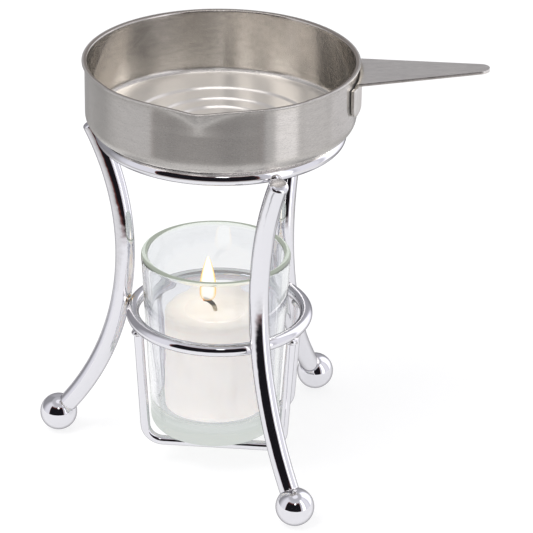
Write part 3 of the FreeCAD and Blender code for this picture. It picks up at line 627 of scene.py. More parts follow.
def eased(corners):
    """A profile through (radius, height, ease, steps) corners; those with an ease are rounded."""
    points = []
    for n, (radius, height, ease, count) in enumerate(corners):
        if ease:
            points += soft_corner(corners[n - 1][:2], (radius, height), corners[n + 1][:2], ease, count)
        else:
            points.append((radius, height))
    return points


def densify(profile, step):
    """Add points so that no run of the profile is longer than the step."""
    points = [profile[0]]
    for (r0, z0), (r1, z1) in zip(profile, profile[1:]):
        parts = max(1, math.ceil(math.hypot(r1 - r0, z1 - z0) / step))
        for n in range(1, parts + 1):
            points.append((r0 + (r1 - r0) * n / parts, z0 + (z1 - z0) * n / parts))
    return points


# ---- The pan ----

def spout_offset(turn, height, radius, nose):
    """How far the spout carries the wall out from its round at this turn and height."""
    depth = (PAN_RIM - height) / SPOUT_DEPTH
    if depth > 1.0:
        return 0.0
    shift = (1 - (1 - max(0.0, depth)) ** 1.6) * (SPOUT_REACH + SPOUT_BITE)
    centre = WALL_RADIUS + SPOUT_REACH - SPOUT_NOSE
    lean = math.acos((radius - nose) / centre)
    away = (turn - math.radians(SPOUT_TURN) + math.pi) % (2 * math.pi) - math.pi
    away = abs(away)
    near = centre - shift
    tip = math.atan2(nose * math.sin(lean), near + nose * math.cos(lean))
    if away < tip:
        out = near * math.cos(away) + math.sqrt(nose ** 2 - (near * math.sin(away)) ** 2)
    elif away < lean + 0.4:
        out = (radius - shift * math.cos(lean)) / math.cos(away - lean)
        if away > lean:
            out = min(out, radius - shift * math.cos(lean))
    else:
        return 0.0
    soft = 0.7
    gain = out - radius
    return 0.5 * (gain + math.sqrt(gain * gain + soft * soft)) if gain > -6 * soft else 0.0


def floor_profile(level, step_round):
    """The stepped floor from the axis out, its edges softened, at the given level."""
    corners = [(0.0, level - 3 * FLOOR_STEP)]
    for drop, ring in ((2, FLOOR_RINGS[2]), (1, FLOOR_RINGS[1]), (0, FLOOR_RINGS[0])):
        corners.append((ring - FLOOR_RISER, level - (drop + 1) * FLOOR_STEP))
        corners.append((ring, level - drop * FLOOR_STEP))
    points = [(0.02, corners[0][1])]
    ends = corners + [(WALL_RADIUS - CORNER, level)]
    for n in range(1, len(corners)):
        points += soft_corner(ends[n - 1], ends[n], ends[n + 1], step_round)
    return points


def pan_profile():
    """The pan's section: up the outside, over the rolled lip and down the inside."""
    outer = floor_profile(PAN_BASE, 0.5)
    outer += arc_points((WALL_RADIUS - CORNER, PAN_BASE + CORNER), CORNER, -90, 0, 14)
    outer.append((WALL_RADIUS, PAN_RIM - LIP_HEIGHT - 1.2))
    lip = 0.42 * LIP_HEIGHT
    edge = WALL_RADIUS + LIP_REACH - lip
    outer += soft_corner((WALL_RADIUS, PAN_RIM - 3.0), (WALL_RADIUS, PAN_RIM - 2 * lip),
                         (edge, PAN_RIM - 2 * lip), 0.4)
    outer += arc_points((edge, PAN_RIM - lip), lip, -90, 60, 8)
    inner_radius = WALL_RADIUS - WALL
    inner_level = PAN_BASE + WALL
    inner = floor_profile(inner_level, 0.5)
    inner += arc_points((inner_radius - INNER_CORNER, inner_level + INNER_CORNER), INNER_CORNER,
                        -90, 0, 10)
    inner += soft_corner((inner_radius, inner_level + 9), (inner_radius, PAN_RIM - 0.12),
                         (edge, PAN_RIM), 0.7)
    return densify(outer, 1.1), densify(inner, 1.1)


def section_length(profile):
    return sum(math.dist(first, second) for first, second in zip(profile, profile[1:]))


def make_pan(material):
    """The bowl, spun from one sheet, with its pour spout pressed into the rim."""
    outer, inner = pan_profile()
    profile = outer + inner[::-1]
    turn_of_pan = math.radians(PAN_TURN)

    def reach(index, radius, height, turn):
        own_turn = turn - turn_of_pan
        if height < PAN_RIM - SPOUT_DEPTH:
            return radius
        if index < len(outer):
            extra = spout_offset(own_turn, height, WALL_RADIUS, SPOUT_NOSE)
        else:
            extra = spout_offset(own_turn, height, WALL_RADIUS - WALL, SPOUT_NOSE - WALL)
        return radius + extra

    mesh = lathe("pan_bowl_spun", profile, 720, reach=reach)
    piece = new_object("pan_bowl_spun", mesh, material)
    settle(piece, "pan", ["pan_bowl"])
    return piece


def tab_foot(turn, middle):
    """The tab's lower edge at a turn from its middle, round its corners."""
    from_edge = math.radians(TAB_HALF_ANGLE) * middle - abs(turn) * middle
    if from_edge >= TAB_CORNER:
        return TAB_BOTTOM
    inside = TAB_CORNER - max(0.0, from_edge)
    return TAB_BOTTOM + TAB_CORNER - math.sqrt(TAB_CORNER ** 2 - inside ** 2)


def handle_rows(middle, spread, shoulder):
    """Rows across the middle of the handle's sheet, from the tab's foot to the strip's tip."""
    rise = math.radians(HANDLE_RISE)
    columns = [n / HALF_COLUMNS for n in range(-HALF_COLUMNS, HALF_COLUMNS + 1)]
    turns = [j * spread for j in columns]

    def height_at(x):
        return TAB_TOP - SHEET / 2 + (x - middle - SHEET / 2) * math.tan(rise)

    def part_way(start, ends, share):
        """A row that has gone a share of the way from its start to its ends."""
        row = []
        for (x, y, height), (end_x, end_y) in zip(start, ends):
            x += share * (end_x - x)
            row.append((x, y + share * (end_y - y), height_at(x)))
        return row

    rows = []
    for n in range(TAB_ROWS + 1):
        row = []
        for turn in turns:
            foot = tab_foot(turn, middle)
            row.append(on_round(middle, turn, foot + n / TAB_ROWS * (shoulder - foot)))
        rows.append(row)
    for n in range(1, BEND_ROWS + 1):
        angle = n / BEND_ROWS * (math.pi / 2 - rise)
        out = middle + TAB_BEND * (1 - math.cos(angle))
        height = shoulder + TAB_BEND * math.sin(angle)
        rows.append([on_round(out, turn, height) for turn in turns])
    rows[-1] = [(x, y, height_at(x)) for x, y, height in rows[-1]]

    centre = HANDLE_REACH - TIP_INSET - HANDLE_TIP
    narrowing = HANDLE_ROOT_WIDTH / 2 - HANDLE_TIP
    lean = math.asin(narrowing / (centre - middle * math.cos(spread)) * SIDE_EASE)
    side_end = centre + HANDLE_TIP * math.sin(lean)
    side_half = HANDLE_TIP * math.cos(lean)
    root = rows[-1]
    ends = [(side_end, j * side_half) for j in columns]
    rows += [part_way(root, ends, n / GRIP_ROWS) for n in range(1, GRIP_ROWS + 1)]
    flat = rows[-1]
    ends = []
    for j in columns:
        angle = j * (math.pi / 2 - lean)
        ends.append((centre + HANDLE_TIP * math.cos(angle), HANDLE_TIP * math.sin(angle)))
    rows += [part_way(flat, ends, math.sin(n / TIP_ROWS * math.pi / 2)) for n in range(1, TIP_ROWS + 1)]
    return rows


def make_handle(material):
    """The handle: one strip of sheet with eased edges, its tab curved round the pan's wall."""
    middle = WALL_RADIUS + TAB_GAP + SHEET / 2
    spread = math.asin(HANDLE_ROOT_WIDTH / 2 / middle)
    shoulder = TAB_TOP - SHEET / 2 - TAB_BEND
    rows = handle_rows(middle, spread, shoulder)

    def lay(i, j):
        x, y, z = rows[i][min(j, len(rows[i]) - 1)]
        return (MM * (x + TAB_TOP - z), MM * (y + HANDLE_REACH))

    mesh = grid_mesh("pan_handle_sheet", rows, False, lay)
    shape = bmesh.new()
    shape.from_mesh(mesh)
    layer = shape.loops.layers.uv["lay"]
    for side in (-1, 1):
        strips = []
        for n in range(WING_COLUMNS + 1):
            wing = n / WING_COLUMNS * (math.radians(TAB_HALF_ANGLE) - spread) * 0.999
            turn = side * (spread + wing)
            foot = tab_foot(turn, middle)
            top = shoulder + (WING_LIFT if n else 0.0)
            strip = []
            for k in range(TAB_ROWS + 1):
                height = foot + k / TAB_ROWS * (top - foot)
                if n and k == TAB_ROWS:
                    height = shoulder + WING_LIFT * min(1.0, n / 2)
                strip.append(shape.verts.new(in_metres(on_round(middle, turn, height))))
            strips.append(strip)
        for first, second in zip(strips, strips[1:]):
            for k in range(TAB_ROWS):
                face = shape.faces.new((first[k], first[k + 1], second[k + 1], second[k]))
                face.smooth = True
                for loop in face.loops:
                    spot = loop.vert.co
                    loop[layer].uv = (spot.x + MM * TAB_TOP - spot.z, spot.y + MM * HANDLE_REACH)
    bmesh.ops.remove_doubles(shape, verts=shape.verts, dist=2e-5)
    bmesh.ops.recalc_face_normals(shape, faces=shape.faces)
    bmesh.ops.rotate(shape, verts=shape.verts, cent=(0, 0, 0),
                     matrix=Matrix.Rotation(math.radians(PAN_TURN), 3, "Z"))
    shape.to_mesh(mesh)
    shape.free()
    piece = new_object("pan_handle_sheet", mesh, material)
    thicken = piece.modifiers.new("sheet", "SOLIDIFY")
    thicken.thickness = 0.98 * SHEET * MM
    thicken.offset = 0.0
    ease = piece.modifiers.new("eased_edges", "BEVEL")
    ease.width = EDGE_EASE * MM
    ease.segments = 3
    ease.limit_method = "ANGLE"
    ease.angle_limit = math.radians(60)
    bake(piece)
    settle(piece, "pan", ["pan_handle"])
    return piece


def bake(piece):
    """Apply a piece's modifiers to a plain mesh."""
    graph = bpy.context.evaluated_depsgraph_get()
    mesh = bpy.data.meshes.new_from_object(piece.evaluated_get(graph))
    mesh.name = piece.name
    piece.modifiers.clear()
    piece.data = mesh


# ---- Geometry Nodes: rods swept along paths, and blobs set on points ----

def geometry_group(name, inputs):
    return node_group("GeometryNodeTree", name, [("Geometry", "Geometry", None)] + inputs,
                      [("Geometry", "Geometry")])


def make_rod_group():
    """Sweep a round section along each path, its girth read from the path's points."""
    tree, graph, take, give = geometry_group("swept_rod", [
        ("Radius", "Float", 3 * MM), ("Sides", "Int", 48), ("Material", "Material", None)])
    path = graph.geometry("MeshToCurve", {0: take["Geometry"]})
    ring = graph.geometry("CurvePrimitiveCircle", {"Resolution": take["Sides"], "Radius": take["Radius"]})
    sweep = graph.geometry("CurveToMesh", {"Curve": path, "Profile Curve": ring, "Fill Caps": True,
                                           "Scale": graph.from_points("girth", "FLOAT")})
    real = graph.geometry("RealizeInstances", {0: graph.geometry("SetShadeSmooth", {0: sweep})})
    graph.feed(give[0], graph.geometry("SetMaterial", {"Geometry": real, "Material": take["Material"]}))
    return tree


def make_blob_group():
    """Set a stretched, roughened blob on each point, aimed as the point says."""
    tree, graph, take, give = geometry_group("set_blobs", [
        ("Detail", "Int", 5), ("Unevenness", "Float", 0.2 * MM), ("Grain", "Float", 500.0),
        ("Seed", "Float", 1.0), ("Material", "Material", None)])
    aim = graph.add("FunctionNodeAlignRotationToVector",
                    {"Vector": graph.from_points("aim", "FLOAT_VECTOR")}, axis="Z")
    blobs = graph.geometry("InstanceOnPoints", {
        "Points": take["Geometry"], "Rotation": aim.outputs[0],
        "Instance": graph.geometry("MeshIcoSphere", {"Radius": 1.0, "Subdivisions": take["Detail"]}),
        "Scale": graph.from_points("size", "FLOAT_VECTOR")})
    rough = graph.add("ShaderNodeTexNoise", {
        "Vector": graph.geometry("InputPosition"), "W": take["Seed"], "Scale": take["Grain"],
        "Detail": 2.0}, noise_dimensions="4D").outputs["Fac"]
    push = graph.times(graph.math("SUBTRACT", rough, 0.5), take["Unevenness"])
    moved = graph.geometry("SetPosition", {
        "Geometry": graph.geometry("RealizeInstances", {0: blobs}),
        "Offset": graph.vector("SCALE", graph.geometry("InputNormal"), scale=push)})
    smooth = graph.geometry("SetShadeSmooth", {0: moved})
    graph.feed(give[0], graph.geometry("SetMaterial", {"Geometry": smooth, "Material": take["Material"]}))
    return tree


ROD_GROUP = make_rod_group()
BLOB_GROUP = make_blob_group()


def run_group(piece, tree, values):
    """Run a node group on a piece with the given inputs and keep its plain mesh."""
    modifier = piece.modifiers.new(tree.name, "NODES")
    modifier.node_group = tree
    for socket in tree.interface.items_tree:
        if socket.name in values:
            modifier[socket.identifier] = values[socket.name]
    bake(piece)


def rod(name, points, radius, material, girth=None, closed=False, sides=48):
    """A round rod along points in millimetres."""
    mesh = bpy.data.meshes.new(name + "_path")
    count = len(points)
    edges = [(n, n + 1) for n in range(count - 1)] + ([(count - 1, 0)] if closed else [])
    mesh.from_pydata([in_metres(point) for point in points], edges, [])
    layer = mesh.attributes.new("girth", "FLOAT", "POINT")
    layer.data.foreach_set("value", girth or [1.0] * count)
    piece = new_object(name, mesh, None)
    run_group(piece, ROD_GROUP, {"Radius": radius * MM, "Sides": sides, "Material": material})
    return piece


def blobs(name, spots, material, detail=4, unevenness=0.7, grain=420.0, seed=1.0):
    """Blobs at (place, aim, size) spots, in millimetres."""
    mesh = bpy.data.meshes.new(name + "_points")
    mesh.from_pydata([in_metres(place) for place, aim, size in spots], [], [])
    aims = mesh.attributes.new("aim", "FLOAT_VECTOR", "POINT")
    aims.data.foreach_set("vector", [part for place, aim, size in spots for part in aim])
    sizes = mesh.attributes.new("size", "FLOAT_VECTOR", "POINT")
    sizes.data.foreach_set("vector", [MM * part for place, aim, size in spots for part in size])
    piece = new_object(name, mesh, None)
    run_group(piece, BLOB_GROUP, {"Detail": detail, "Unevenness": unevenness * MM, "Grain": grain,
                                  "Seed": seed, "Material": material})
    return piece


# ---- The stand ----

def leg_arc():
    """The centre of a leg's arc, which touches both rings from outside, and its two angles."""
    top = LEG_BEND + ROD + TOP_RING[2] - WELD_SINK
    low = LEG_BEND + ROD + LOWER_RING[2] - WELD_SINK
    step = TOP_RING[0] - LOWER_RING[0]
    drop = TOP_RING[1] - LOWER_RING[1]
    span = math.hypot(step, drop)
    along = (top ** 2 - low ** 2 + span ** 2) / (2 * span)
    off = math.sqrt(top ** 2 - along ** 2)
    centre = TOP_RING[0] + (off * drop - along * step) / span
    waist = TOP_RING[1] - (along * drop + off * step) / span
    up = math.asin((TOP_RING[1] + LEG_RISE - waist) / LEG_BEND)
    down = math.asin((waist - BALL) / LEG_BEND)
    return centre, waist, up, down


LEG_CENTRE, LEG_WAIST, LEG_UP, LEG_DOWN = leg_arc()


def touch_of(ring):
    """Where a leg's line comes nearest to a ring: how far out, and how high."""
    radius, height, wire = ring
    way = Vector((LEG_CENTRE - radius, LEG_WAIST - height)).normalized()
    reach = wire + ROD - WELD_SINK
    return radius + reach * way.x, height + reach * way.y, way


LEG_PIVOT = touch_of(LOWER_RING)[0]


def stood(point, place):
    """A point of a leg's own plane, swung about its touch on the lower ring and turned."""
    x, y, z = point
    x, y, z = turned((x - LEG_PIVOT, y, z), LEG_SWINGS[place])
    return turned((x + LEG_PIVOT, y, z), LEG_TURNS[place])


def leg_points():
    """A leg's line from inside its foot to its eased upper end, with its girth."""
    ease = 1.3 * ROD_END_ROUND
    points = []
    for n in range(LEG_STEPS + 1):
        angle = -LEG_DOWN + (LEG_UP + LEG_DOWN - ease / LEG_BEND) * n / LEG_STEPS
        points.append((LEG_CENTRE - LEG_BEND * math.cos(angle), 0.0,
                       LEG_WAIST + LEG_BEND * math.sin(angle)))
    girth = [1.0] * len(points)
    out, side, height = points[-1]
    for n in range(1, END_STEPS + 1):
        turn = n / END_STEPS * math.pi / 2
        along = ease * math.sin(turn)
        points.append((out + along * math.sin(LEG_UP), side, height + along * math.cos(LEG_UP)))
        girth.append(max(0.02, math.cos(turn) ** 0.35))
    return points, girth


def basket_points(side):
    """One U-shaped wire, from under the lower ring, down, across and up again."""
    rise_steps, bend_steps, flat_steps = BASKET_STEPS
    offset = side * BASKET_OFFSET
    flat = BASKET_HALF - BASKET_BEND
    centre = Vector((flat, BASKET_LINE + BASKET_BEND))
    top_half = math.sqrt(LOWER_RING[0] ** 2 - BASKET_OFFSET ** 2)
    top = Vector((top_half, LOWER_RING[1] - LOWER_RING[2] * 0.75))
    gap = top - centre
    lean = math.atan2(gap.y, gap.x) - math.acos(BASKET_BEND / gap.length)
    touch = centre + BASKET_BEND * Vector((math.cos(lean), math.sin(lean)))
    right = [top.lerp(touch, n / rise_steps) for n in range(rise_steps + 1)]
    for n in range(1, bend_steps + 1):
        angle = lean + (-math.pi / 2 - lean) * n / bend_steps
        right.append(centre + BASKET_BEND * Vector((math.cos(angle), math.sin(angle))))
    left = [Vector((-point.x, point.y)) for point in right]
    across = [Vector((flat * (1 - n / flat_steps), BASKET_LINE)) for n in range(1, 2 * flat_steps)]
    line = right + across + left[::-1]
    return [turned((point.x, offset, point.y), BASKET_TURN) for point in line]


def ring_bead(ring, place):
    """The spot of a weld bead where a leg meets a ring."""
    radius, height, wire = ring
    out, level, way = touch_of(ring)
    across = Vector(stood((out, 0.0, level), place)).xy.normalized()
    aim = Vector((way.x * across.x, way.x * across.y, way.y))
    touch = Vector((radius * across.x, radius * across.y, height)) + aim * (wire - WELD_SINK / 2)
    return tuple(touch), tuple(aim), RING_BEAD


def basket_beads():
    """The spots of the beads and lumps that join the basket wires to the lower ring."""
    low = LOWER_RING[1] - 0.8 * LOWER_RING[2]
    spots = []
    for side in (-1, 1):
        line = basket_points(side)
        for end, inner in ((line[0], line[6]), (line[-1], line[-7])):
            way = (Vector(inner) - Vector(end)).normalized()
            spots.append((tuple(Vector(end) + way * 0.9), tuple(way), WIRE_BEAD))
            for along in LUMP_PLACES:
                x, y = turned(end, math.degrees(along / LOWER_RING[0]))[:2]
                spots.append(((x, y, low), (0.0, 0.0, 1.0), LUMP))
    return spots


def make_stand(chrome, weld):
    """Rings, legs, feet, basket wires and the welds that join them."""
    rings = (("top_ring", TOP_RING, 3.0), ("lower_ring", LOWER_RING, 5.0))
    for node, (radius, height, wire), seed in rings:
        circle = [turned((radius, 0.0, height), 360 * n / 240) for n in range(240)]
        piece = rod(node + "_wire", circle, wire, chrome, closed=True)
        settle(piece, "stand", [node])

    line, girth = leg_points()
    for place in LEG_TURNS:
        piece = rod(f"leg_{place}_rod", [stood(point, place) for point in line], ROD, chrome, girth)
        settle(piece, "stand", [f"leg_{place}"])
        foot = stood((LEG_CENTRE - LEG_BEND * math.cos(LEG_DOWN), 0.0, BALL), place)
        ball = blobs(f"foot_{place}_ball", [(foot, (0.0, 0.0, 1.0), 3 * (0.999 * BALL,))], chrome,
                     detail=6, unevenness=0.0)
        settle(ball, "stand", [f"foot_{place}"])

    for place, side in (("front", -1), ("rear", 1)):
        piece = rod(f"basket_wire_{place}_bent", basket_points(side), BASKET_WIRE, chrome, sides=32)
        settle(piece, "stand", [f"basket_wire_{place}"])

    for node, ring, seed in rings:
        piece = blobs(node + "_beads", [ring_bead(ring, place) for place in LEG_TURNS], weld, seed=seed)
        settle(piece, "stand", [node + "_welds"])
    piece = blobs("basket_beads", basket_beads(), weld, seed=8.0)
    settle(piece, "stand", ["basket_welds"])


# ---- The glass and its candle ----

def make_glass(material):
    """The candle cup, pressed, with a thick foot and a fire-rounded rim."""
    def outer(height):
        return GLASS_FOOT + (GLASS_RIM - GLASS_FOOT) * height / GLASS_HEIGHT

    punt_flat, punt_edge, punt = GLASS_PUNT
    top = outer(GLASS_HEIGHT)
    points = eased([
        (0.02, punt, 0, 0), (punt_flat, punt, 0.8, 8), (punt_edge, 0.0, 0.8, 8), (outer(0), 0.0, 3.4, 8),
        (top, GLASS_HEIGHT, 1.5, 8), (top - GLASS_WALL, GLASS_HEIGHT, 1.5, 8),
        (outer(GLASS_FLOOR) - GLASS_WALL, GLASS_FLOOR, 2.6, 8), (0.02, GLASS_FLOOR, 0, 0)])
    profile = [(radius, height + GLASS_BASE) for radius, height in densify(points, 2.5)]
    mesh = lathe("glass_cup_pressed", profile, 160, (GLASS_X, 0.0))
    piece = new_object("glass_cup_pressed", mesh, material)
    settle(piece, "glass", ["glass_cup"])


def make_wax(material):
    """The candle, its rim slumped a little and its pool dished round the wick."""
    low, high = WAX_BASE, WAX_BASE + WAX_HEIGHT
    dish = high - POOL_DEPTH
    profile = eased([
        (0.02, low, 0, 0), (WAX_RADIUS, low, 1.2, 5), (WAX_RADIUS, high, 1.8, 7),
        (POOL_RADIUS, high, 1.6, 5), (POOL_FOOT, dish, 1.6, 5), (0.02, dish, 0, 0)])

    def reach(index, radius, height, turn):
        slump = 0.16 * math.sin(3 * turn + 0.6) + 0.1 * math.sin(7 * turn + 2.0)
        return radius - 0.26 + slump if 6.0 < radius < POOL_RADIUS + 0.5 else radius

    mesh = lathe("candle_block", densify(profile, 1.5), 144, (GLASS_X, 0.0), reach)
    piece = new_object("candle_block", mesh, material)
    settle(piece, "candle", ["candle_wax"])


def make_flame(material):
    """A small still flame, drawn up from the curled wick."""
    profile = []
    count = 40
    for n in range(count + 1):
        t = n / count
        height = FLAME_BASE + t * (FLAME_TIP - FLAME_BASE)
        radius = FLAME_WIDTH * 1.55 * t ** 0.22 * (1 - t) ** 0.8 if 0 < t < 1 else 0.0
        profile.append((max(0.01, radius), height))
    mesh = lathe("candle_flame", profile, 48, (FLAME_X, 0.0))
    piece = new_object("candle_flame", mesh, material)
    settle(piece, "candle")


# ---- The set ----

CAMERA = (0.0, -0.899302, 0.501731)
YAW, PITCH, ROLL = 0.991, -25.706, 0.891
LENS = 202.63


def make_camera():
    yaw, pitch, roll = (math.radians(angle) for angle in (YAW, PITCH, ROLL))
    ahead = Vector((math.sin(yaw) * math.cos(pitch), math.cos(yaw) * math.cos(pitch), math.sin(pitch)))
    level = Vector((math.cos(yaw), -math.sin(yaw), 0.0))
    upright = level.cross(ahead)
    right = level * math.cos(roll) + upright * math.sin(roll)
    up = upright * math.cos(roll) - level * math.sin(roll)
    data = bpy.data.cameras.new("camera")
    data.lens = LENS
    data.sensor_width = 36.0
    data.clip_start = 0.05
    data.clip_end = 20.0
    camera = link_object("camera", data)
    turn = Matrix((right, up, -ahead)).transposed().to_4x4()
    camera.matrix_world = Matrix.Translation(CAMERA) @ turn
    bpy.context.scene.camera = camera


# What polished metal sees round the set below the table's edge: the middle azimuth of each
# card from the camera, to the right, its half width and soft edge in degrees, and its level. A
# back, a top or a right is the two bounds between which it fades in, and its level.
LOW_CARDS = (
    (-124, 14, 16, 0.50),
    (-80, 14, 10, 0.60),
    (-12, 48.5, 2.5, 0.60),
    (-44, 4, 4, 0.48),
    (-20, 11, 14, 0.68),
    (8, 9, 10, 0.44),
    (30, 5, 8, 0.66),
    (60, 13, 12, 1.5),
    (94, 21, 10, 1.0),
    (122, 8, 10, 0.62),
    (37.5, 1.2, 1.0, 0.12),
)
LOW_LEVEL = 0.66
LOW_BACK = (146, 158, 0.42)
LOW_TINT = (1.0, 0.985, 0.965)
HORIZON = (-24, -20)

# The same above the table's edge.
HIGH_CARDS = (
    (-72, 22, 20, 0.95),
    (56, 10, 3, 1.8),
    (84, 14, 10, 1.0),
    (-136, 30, 20, 0.36),
    (126, 22, 12, 1.5),
)
HIGH_LEVEL = 0.70
HIGH_BACK = (148, 162, 0.5)
HIGH_TOPS = ((50, 62, 0.60), (72, 80, 1.1))
HIGH_TINT = (0.975, 0.97, 1.02)

# The dark room ahead: its middle, half width and soft edge, where it fades in from below and out
# above, and its tones from its edge inwards.
DARK_ROOM = (-12, 46, 5)
ROOM_BELOW, ROOM_ABOVE = (-27, -18), (50, 38)
ROOM_TONES = ((0.0, (0.36, 0.33, 0.34)), (0.55, (0.17, 0.05, 0.04)), (1.0, (0.012, 0.011, 0.014)))

# The cards for a second reflection, as the pan's inside shows by way of its own floor, and what
# a third reflection sees on the right.
DEEP_CARDS = (
    (-7, 5, 5, 0.4),
    (-22, 5, 6, 2.6),
    (-39, 5, 6, 0.9),
    (-60, 12, 10, 2.8),
    (-81, 5, 5, 0.5),
    (-92, 4, 5, 1.3),
    (-134, 36, 14, 0.0),
    (46, 14, 14, 1.9),
    (76, 12, 12, 0.8),
    (122, 26, 14, 5.0),
    (168, 12, 10, 0.5),
)
DEEP_LEVEL = 1.3
DEEP_TOP = (48, 66, 1.2)
DEEP_TINT = (1.0, 0.975, 0.93)
THIRD_RIGHT = (-12, 8, 3.4)

# The one lamp that polished metal sees: its azimuth, elevation and half width, and its light.
LAMP = (2, 43, 4.5)
LAMP_LIGHT = (3.0, 3.0, 3.0)

# What diffuse light sees, and what glass shows where it bends the ray far.
EVEN_LIGHT = (0.9, 0.9, 0.92)
BENT_LIGHT = (0.86, 0.91, 0.84)


class Studio(Graph):
    """The world's node tree, with the directions in which its cards hang."""

    def __init__(self, tree):
        super().__init__(tree)
        self.way = self.add("ShaderNodeTexCoord").outputs["Generated"]
        axes = self.add("ShaderNodeSeparateXYZ", {0: self.way}).outputs
        front = self.times(axes["Y"], -1.0)
        self.azimuth = self.math("DEGREES", self.math("ARCTAN2", axes["X"], front))
        self.elevation = self.math("DEGREES", self.math("ARCSINE", axes["Z"]))
        self.sideways = self.math("ABSOLUTE", self.azimuth)
        self.light = self.light_path()

    def band(self, middle, half, soft):
        """A mask of the azimuths within a half width of the middle."""
        away = self.math("ABSOLUTE", self.math("SUBTRACT", self.azimuth, middle))
        return self.step(away, half - soft / 2, half + soft / 2, 1.0, 0.0)

    def hang(self, level, cards):
        for middle, half, soft, shade in cards:
            level = self.number(self.band(middle, half, soft), level, shade)
        return level

    def beyond(self, value, zone, level):
        """The level, and past the zone's two bounds the zone's own."""
        start, full, shade = zone
        return self.number(self.step(value, start, full), level, shade)

    def bounced(self, times, soft=0.1):
        """A mask of the rays that metal has mirrored more often than this."""
        return self.step(self.light["Glossy Depth"], times + 0.5 - soft, times + 0.5 + soft)

    def dark_room(self, tone):
        """The tone, with the dark room over it for a first reflection."""
        height = self.times(self.step(self.elevation, *ROOM_BELOW),
                            self.step(self.elevation, *ROOM_ABOVE))
        dark = self.times(self.times(self.band(*DARK_ROOM), height), self.bounced(1, -0.1))
        return self.blend(self.step(dark, 0.0, 0.3), tone, self.ramp(dark, *ROOM_TONES))

    def deep_tone(self):
        """What a second reflection sees, and a third."""
        third = self.beyond(self.azimuth, THIRD_RIGHT, 0.0)
        deep = self.number(self.bounced(2), self.hang(DEEP_LEVEL, DEEP_CARDS), third)
        return self.vector("SCALE", DEEP_TINT, scale=self.beyond(self.elevation, DEEP_TOP, deep))

    def lamp_spot(self):
        """A mask of the lamp that polished metal sees."""
        turn, rise = math.radians(LAMP[0]), math.radians(LAMP[1])
        aim = (math.sin(turn) * math.cos(rise), -math.cos(turn) * math.cos(rise), math.sin(rise))
        edge, core = (math.cos(math.radians(LAMP[2] + soft)) for soft in (1, -1))
        return self.step(self.vector("DOT_PRODUCT", self.way, aim), edge, core)

    def through_glass(self):
        """White straight ahead of the camera, greener where the glass has bent the ray."""
        pitch = math.radians(PITCH)
        straight = self.vector("DOT_PRODUCT", self.way, (0.0, math.cos(pitch), math.sin(pitch)))
        return self.blend(self.step(straight, 0.2, 0.9), BENT_LIGHT, WHITE)


def make_world():
    """White to the camera, even to diffuse light, and a studio of cards to polished metal."""
    world = bpy.data.worlds.new("studio")
    bpy.context.scene.world = world
    world.use_nodes = True
    studio = Studio(world.node_tree)
    low = studio.beyond(studio.sideways, LOW_BACK, studio.hang(LOW_LEVEL, LOW_CARDS))
    high = studio.beyond(studio.sideways, HIGH_BACK, studio.hang(HIGH_LEVEL, HIGH_CARDS))
    for zone in HIGH_TOPS:
        high = studio.beyond(studio.elevation, zone, high)
    low_tone = studio.vector("SCALE", LOW_TINT, scale=low)
    high_tone = studio.vector("SCALE", HIGH_TINT, scale=high)
    horizon = studio.step(studio.elevation, *HORIZON)
    tone = studio.dark_room(studio.blend(horizon, low_tone, high_tone))
    tone = studio.blend(studio.bounced(1), tone, studio.blend(horizon, low_tone, studio.deep_tone()))
    tone = studio.blend(studio.lamp_spot(), tone, LAMP_LIGHT)

    light = studio.light
    seen = studio.blend(light["Is Glossy Ray"], EVEN_LIGHT, tone)
    in_glass = studio.step(light["Transmission Depth"], 0.4, 0.6)
    behind = studio.math("MAXIMUM", light["Is Transmission Ray"], in_glass)
    seen = studio.blend(behind, seen, studio.through_glass())
    seen = studio.blend(light["Is Camera Ray"], seen, WHITE)
    background = studio.shader("Background", {"Color": seen, "Strength": 1.0})
    studio.add("ShaderNodeOutputWorld", {"Surface": background})


FLOOR_SHOWN = 0.15
FLOOR_HALF = 3.0
FLOOR_COLOUR = (0.86, 0.86, 0.87)
FLOOR_GLOW, DIM_GLOW, GLOW_SHARE = 1.12, 0.2, 0.66

# The floor is dimmer to a reflection that reaches it from this high, this near the stand.
DIM_FROM = (0.136, 0.150)
DIM_WITHIN = (0.122, 0.112)


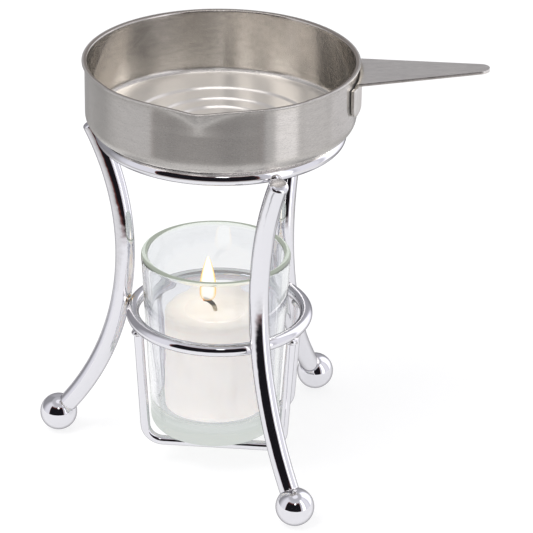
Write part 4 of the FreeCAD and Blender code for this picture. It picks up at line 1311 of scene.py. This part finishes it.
def make_floor():
    """A pale floor: white to the camera but for a faint shadow, and a round table to metal."""
    material, graph = new_material("pale_floor")
    away = graph.vector("LENGTH", graph.object_place())
    light = graph.light_path()
    dim = graph.times(graph.step(light["Ray Length"], *DIM_FROM), graph.step(away, *DIM_WITHIN))
    to_metal = graph.number(dim, FLOOR_GLOW, DIM_GLOW)
    strength = graph.number(light["Is Glossy Ray"], FLOOR_GLOW, to_metal)
    surface = graph.shader_mix(GLOW_SHARE, graph.shader("BsdfDiffuse", {"Color": FLOOR_COLOUR}),
                               graph.shader("Emission", {"Color": WHITE, "Strength": strength}))
    outside = graph.step(away, FLOOR_SHOWN, FLOOR_SHOWN * 1.5)
    hidden = graph.times(outside, light["Is Glossy Ray"])
    close_material(material, graph,
                   graph.shader_mix(hidden, surface, graph.shader("BsdfTransparent")))
    mesh = bpy.data.meshes.new("floor")
    corners = [(FLOOR_HALF * x, FLOOR_HALF * y, 0) for x, y in ((-1, -1), (1, -1), (1, 1), (-1, 1))]
    mesh.from_pydata(corners, [], [(0, 1, 2, 3)])
    floor = new_object("floor", mesh, material)
    floor.location.z = -0.0001


def area_lamp(name, shape, energy, colour, place):
    """An area lamp 0.7 m wide that faces down."""
    data = bpy.data.lights.new(name, "AREA")
    data.shape = shape
    data.size = 0.7
    data.energy = energy
    data.color = colour
    lamp = link_object(name, data)
    lamp.location = place
    return lamp


def make_lamps(sheet_pieces):
    """A soft lamp above and to the left, and a panel overhead that only the pan's sheets see."""
    soft = area_lamp("soft_lamp", "DISK", 5.0, (1.0, 0.99, 0.97), (-0.45, -0.35, 1.0))
    aim = Vector((0.0, 0.0, 0.06)) - soft.location
    soft.rotation_euler = aim.to_track_quat("-Z", "Y").to_euler()
    soft.visible_glossy = False
    panel = area_lamp("pan_panel", "RECTANGLE", 1.8, (1.0, 0.985, 0.96), (-0.12, 0.02, 0.95))
    panel.data.size_y = 0.30
    served = bpy.data.collections.new("pan_sheet")
    for piece in sheet_pieces:
        served.objects.link(piece)
    panel.light_linking.receiver_collection = served


def dress_node(name, material):
    """Give a kept CAD node its finish."""
    node = bpy.data.objects.get(name)
    for slot in node.material_slots:
        slot.material = material
    if not node.material_slots:
        node.data.materials.append(material)


def main():
    bpy.context.scene.view_settings.view_transform = "Standard"
    pan_steel = steel_material("brushed_pan_steel", PAN_STEEL, section_length(pan_profile()[0]))
    handle_steel = steel_material("handle_steel", HANDLE_STEEL)
    chrome = chrome_material()
    weld = weld_material()
    sheet_pieces = [make_pan(pan_steel), make_handle(handle_steel)]
    make_stand(chrome, weld)
    make_glass(glass_material())
    make_wax(wax_material())
    make_flame(flame_material())
    dress_node("handle_spot_welds", weld)
    dress_node("candle_wick", wick_material())
    dress_node("wick_sustainer", tin_material())
    make_floor()
    make_world()
    make_lamps(sheet_pieces)
    make_camera()


main()
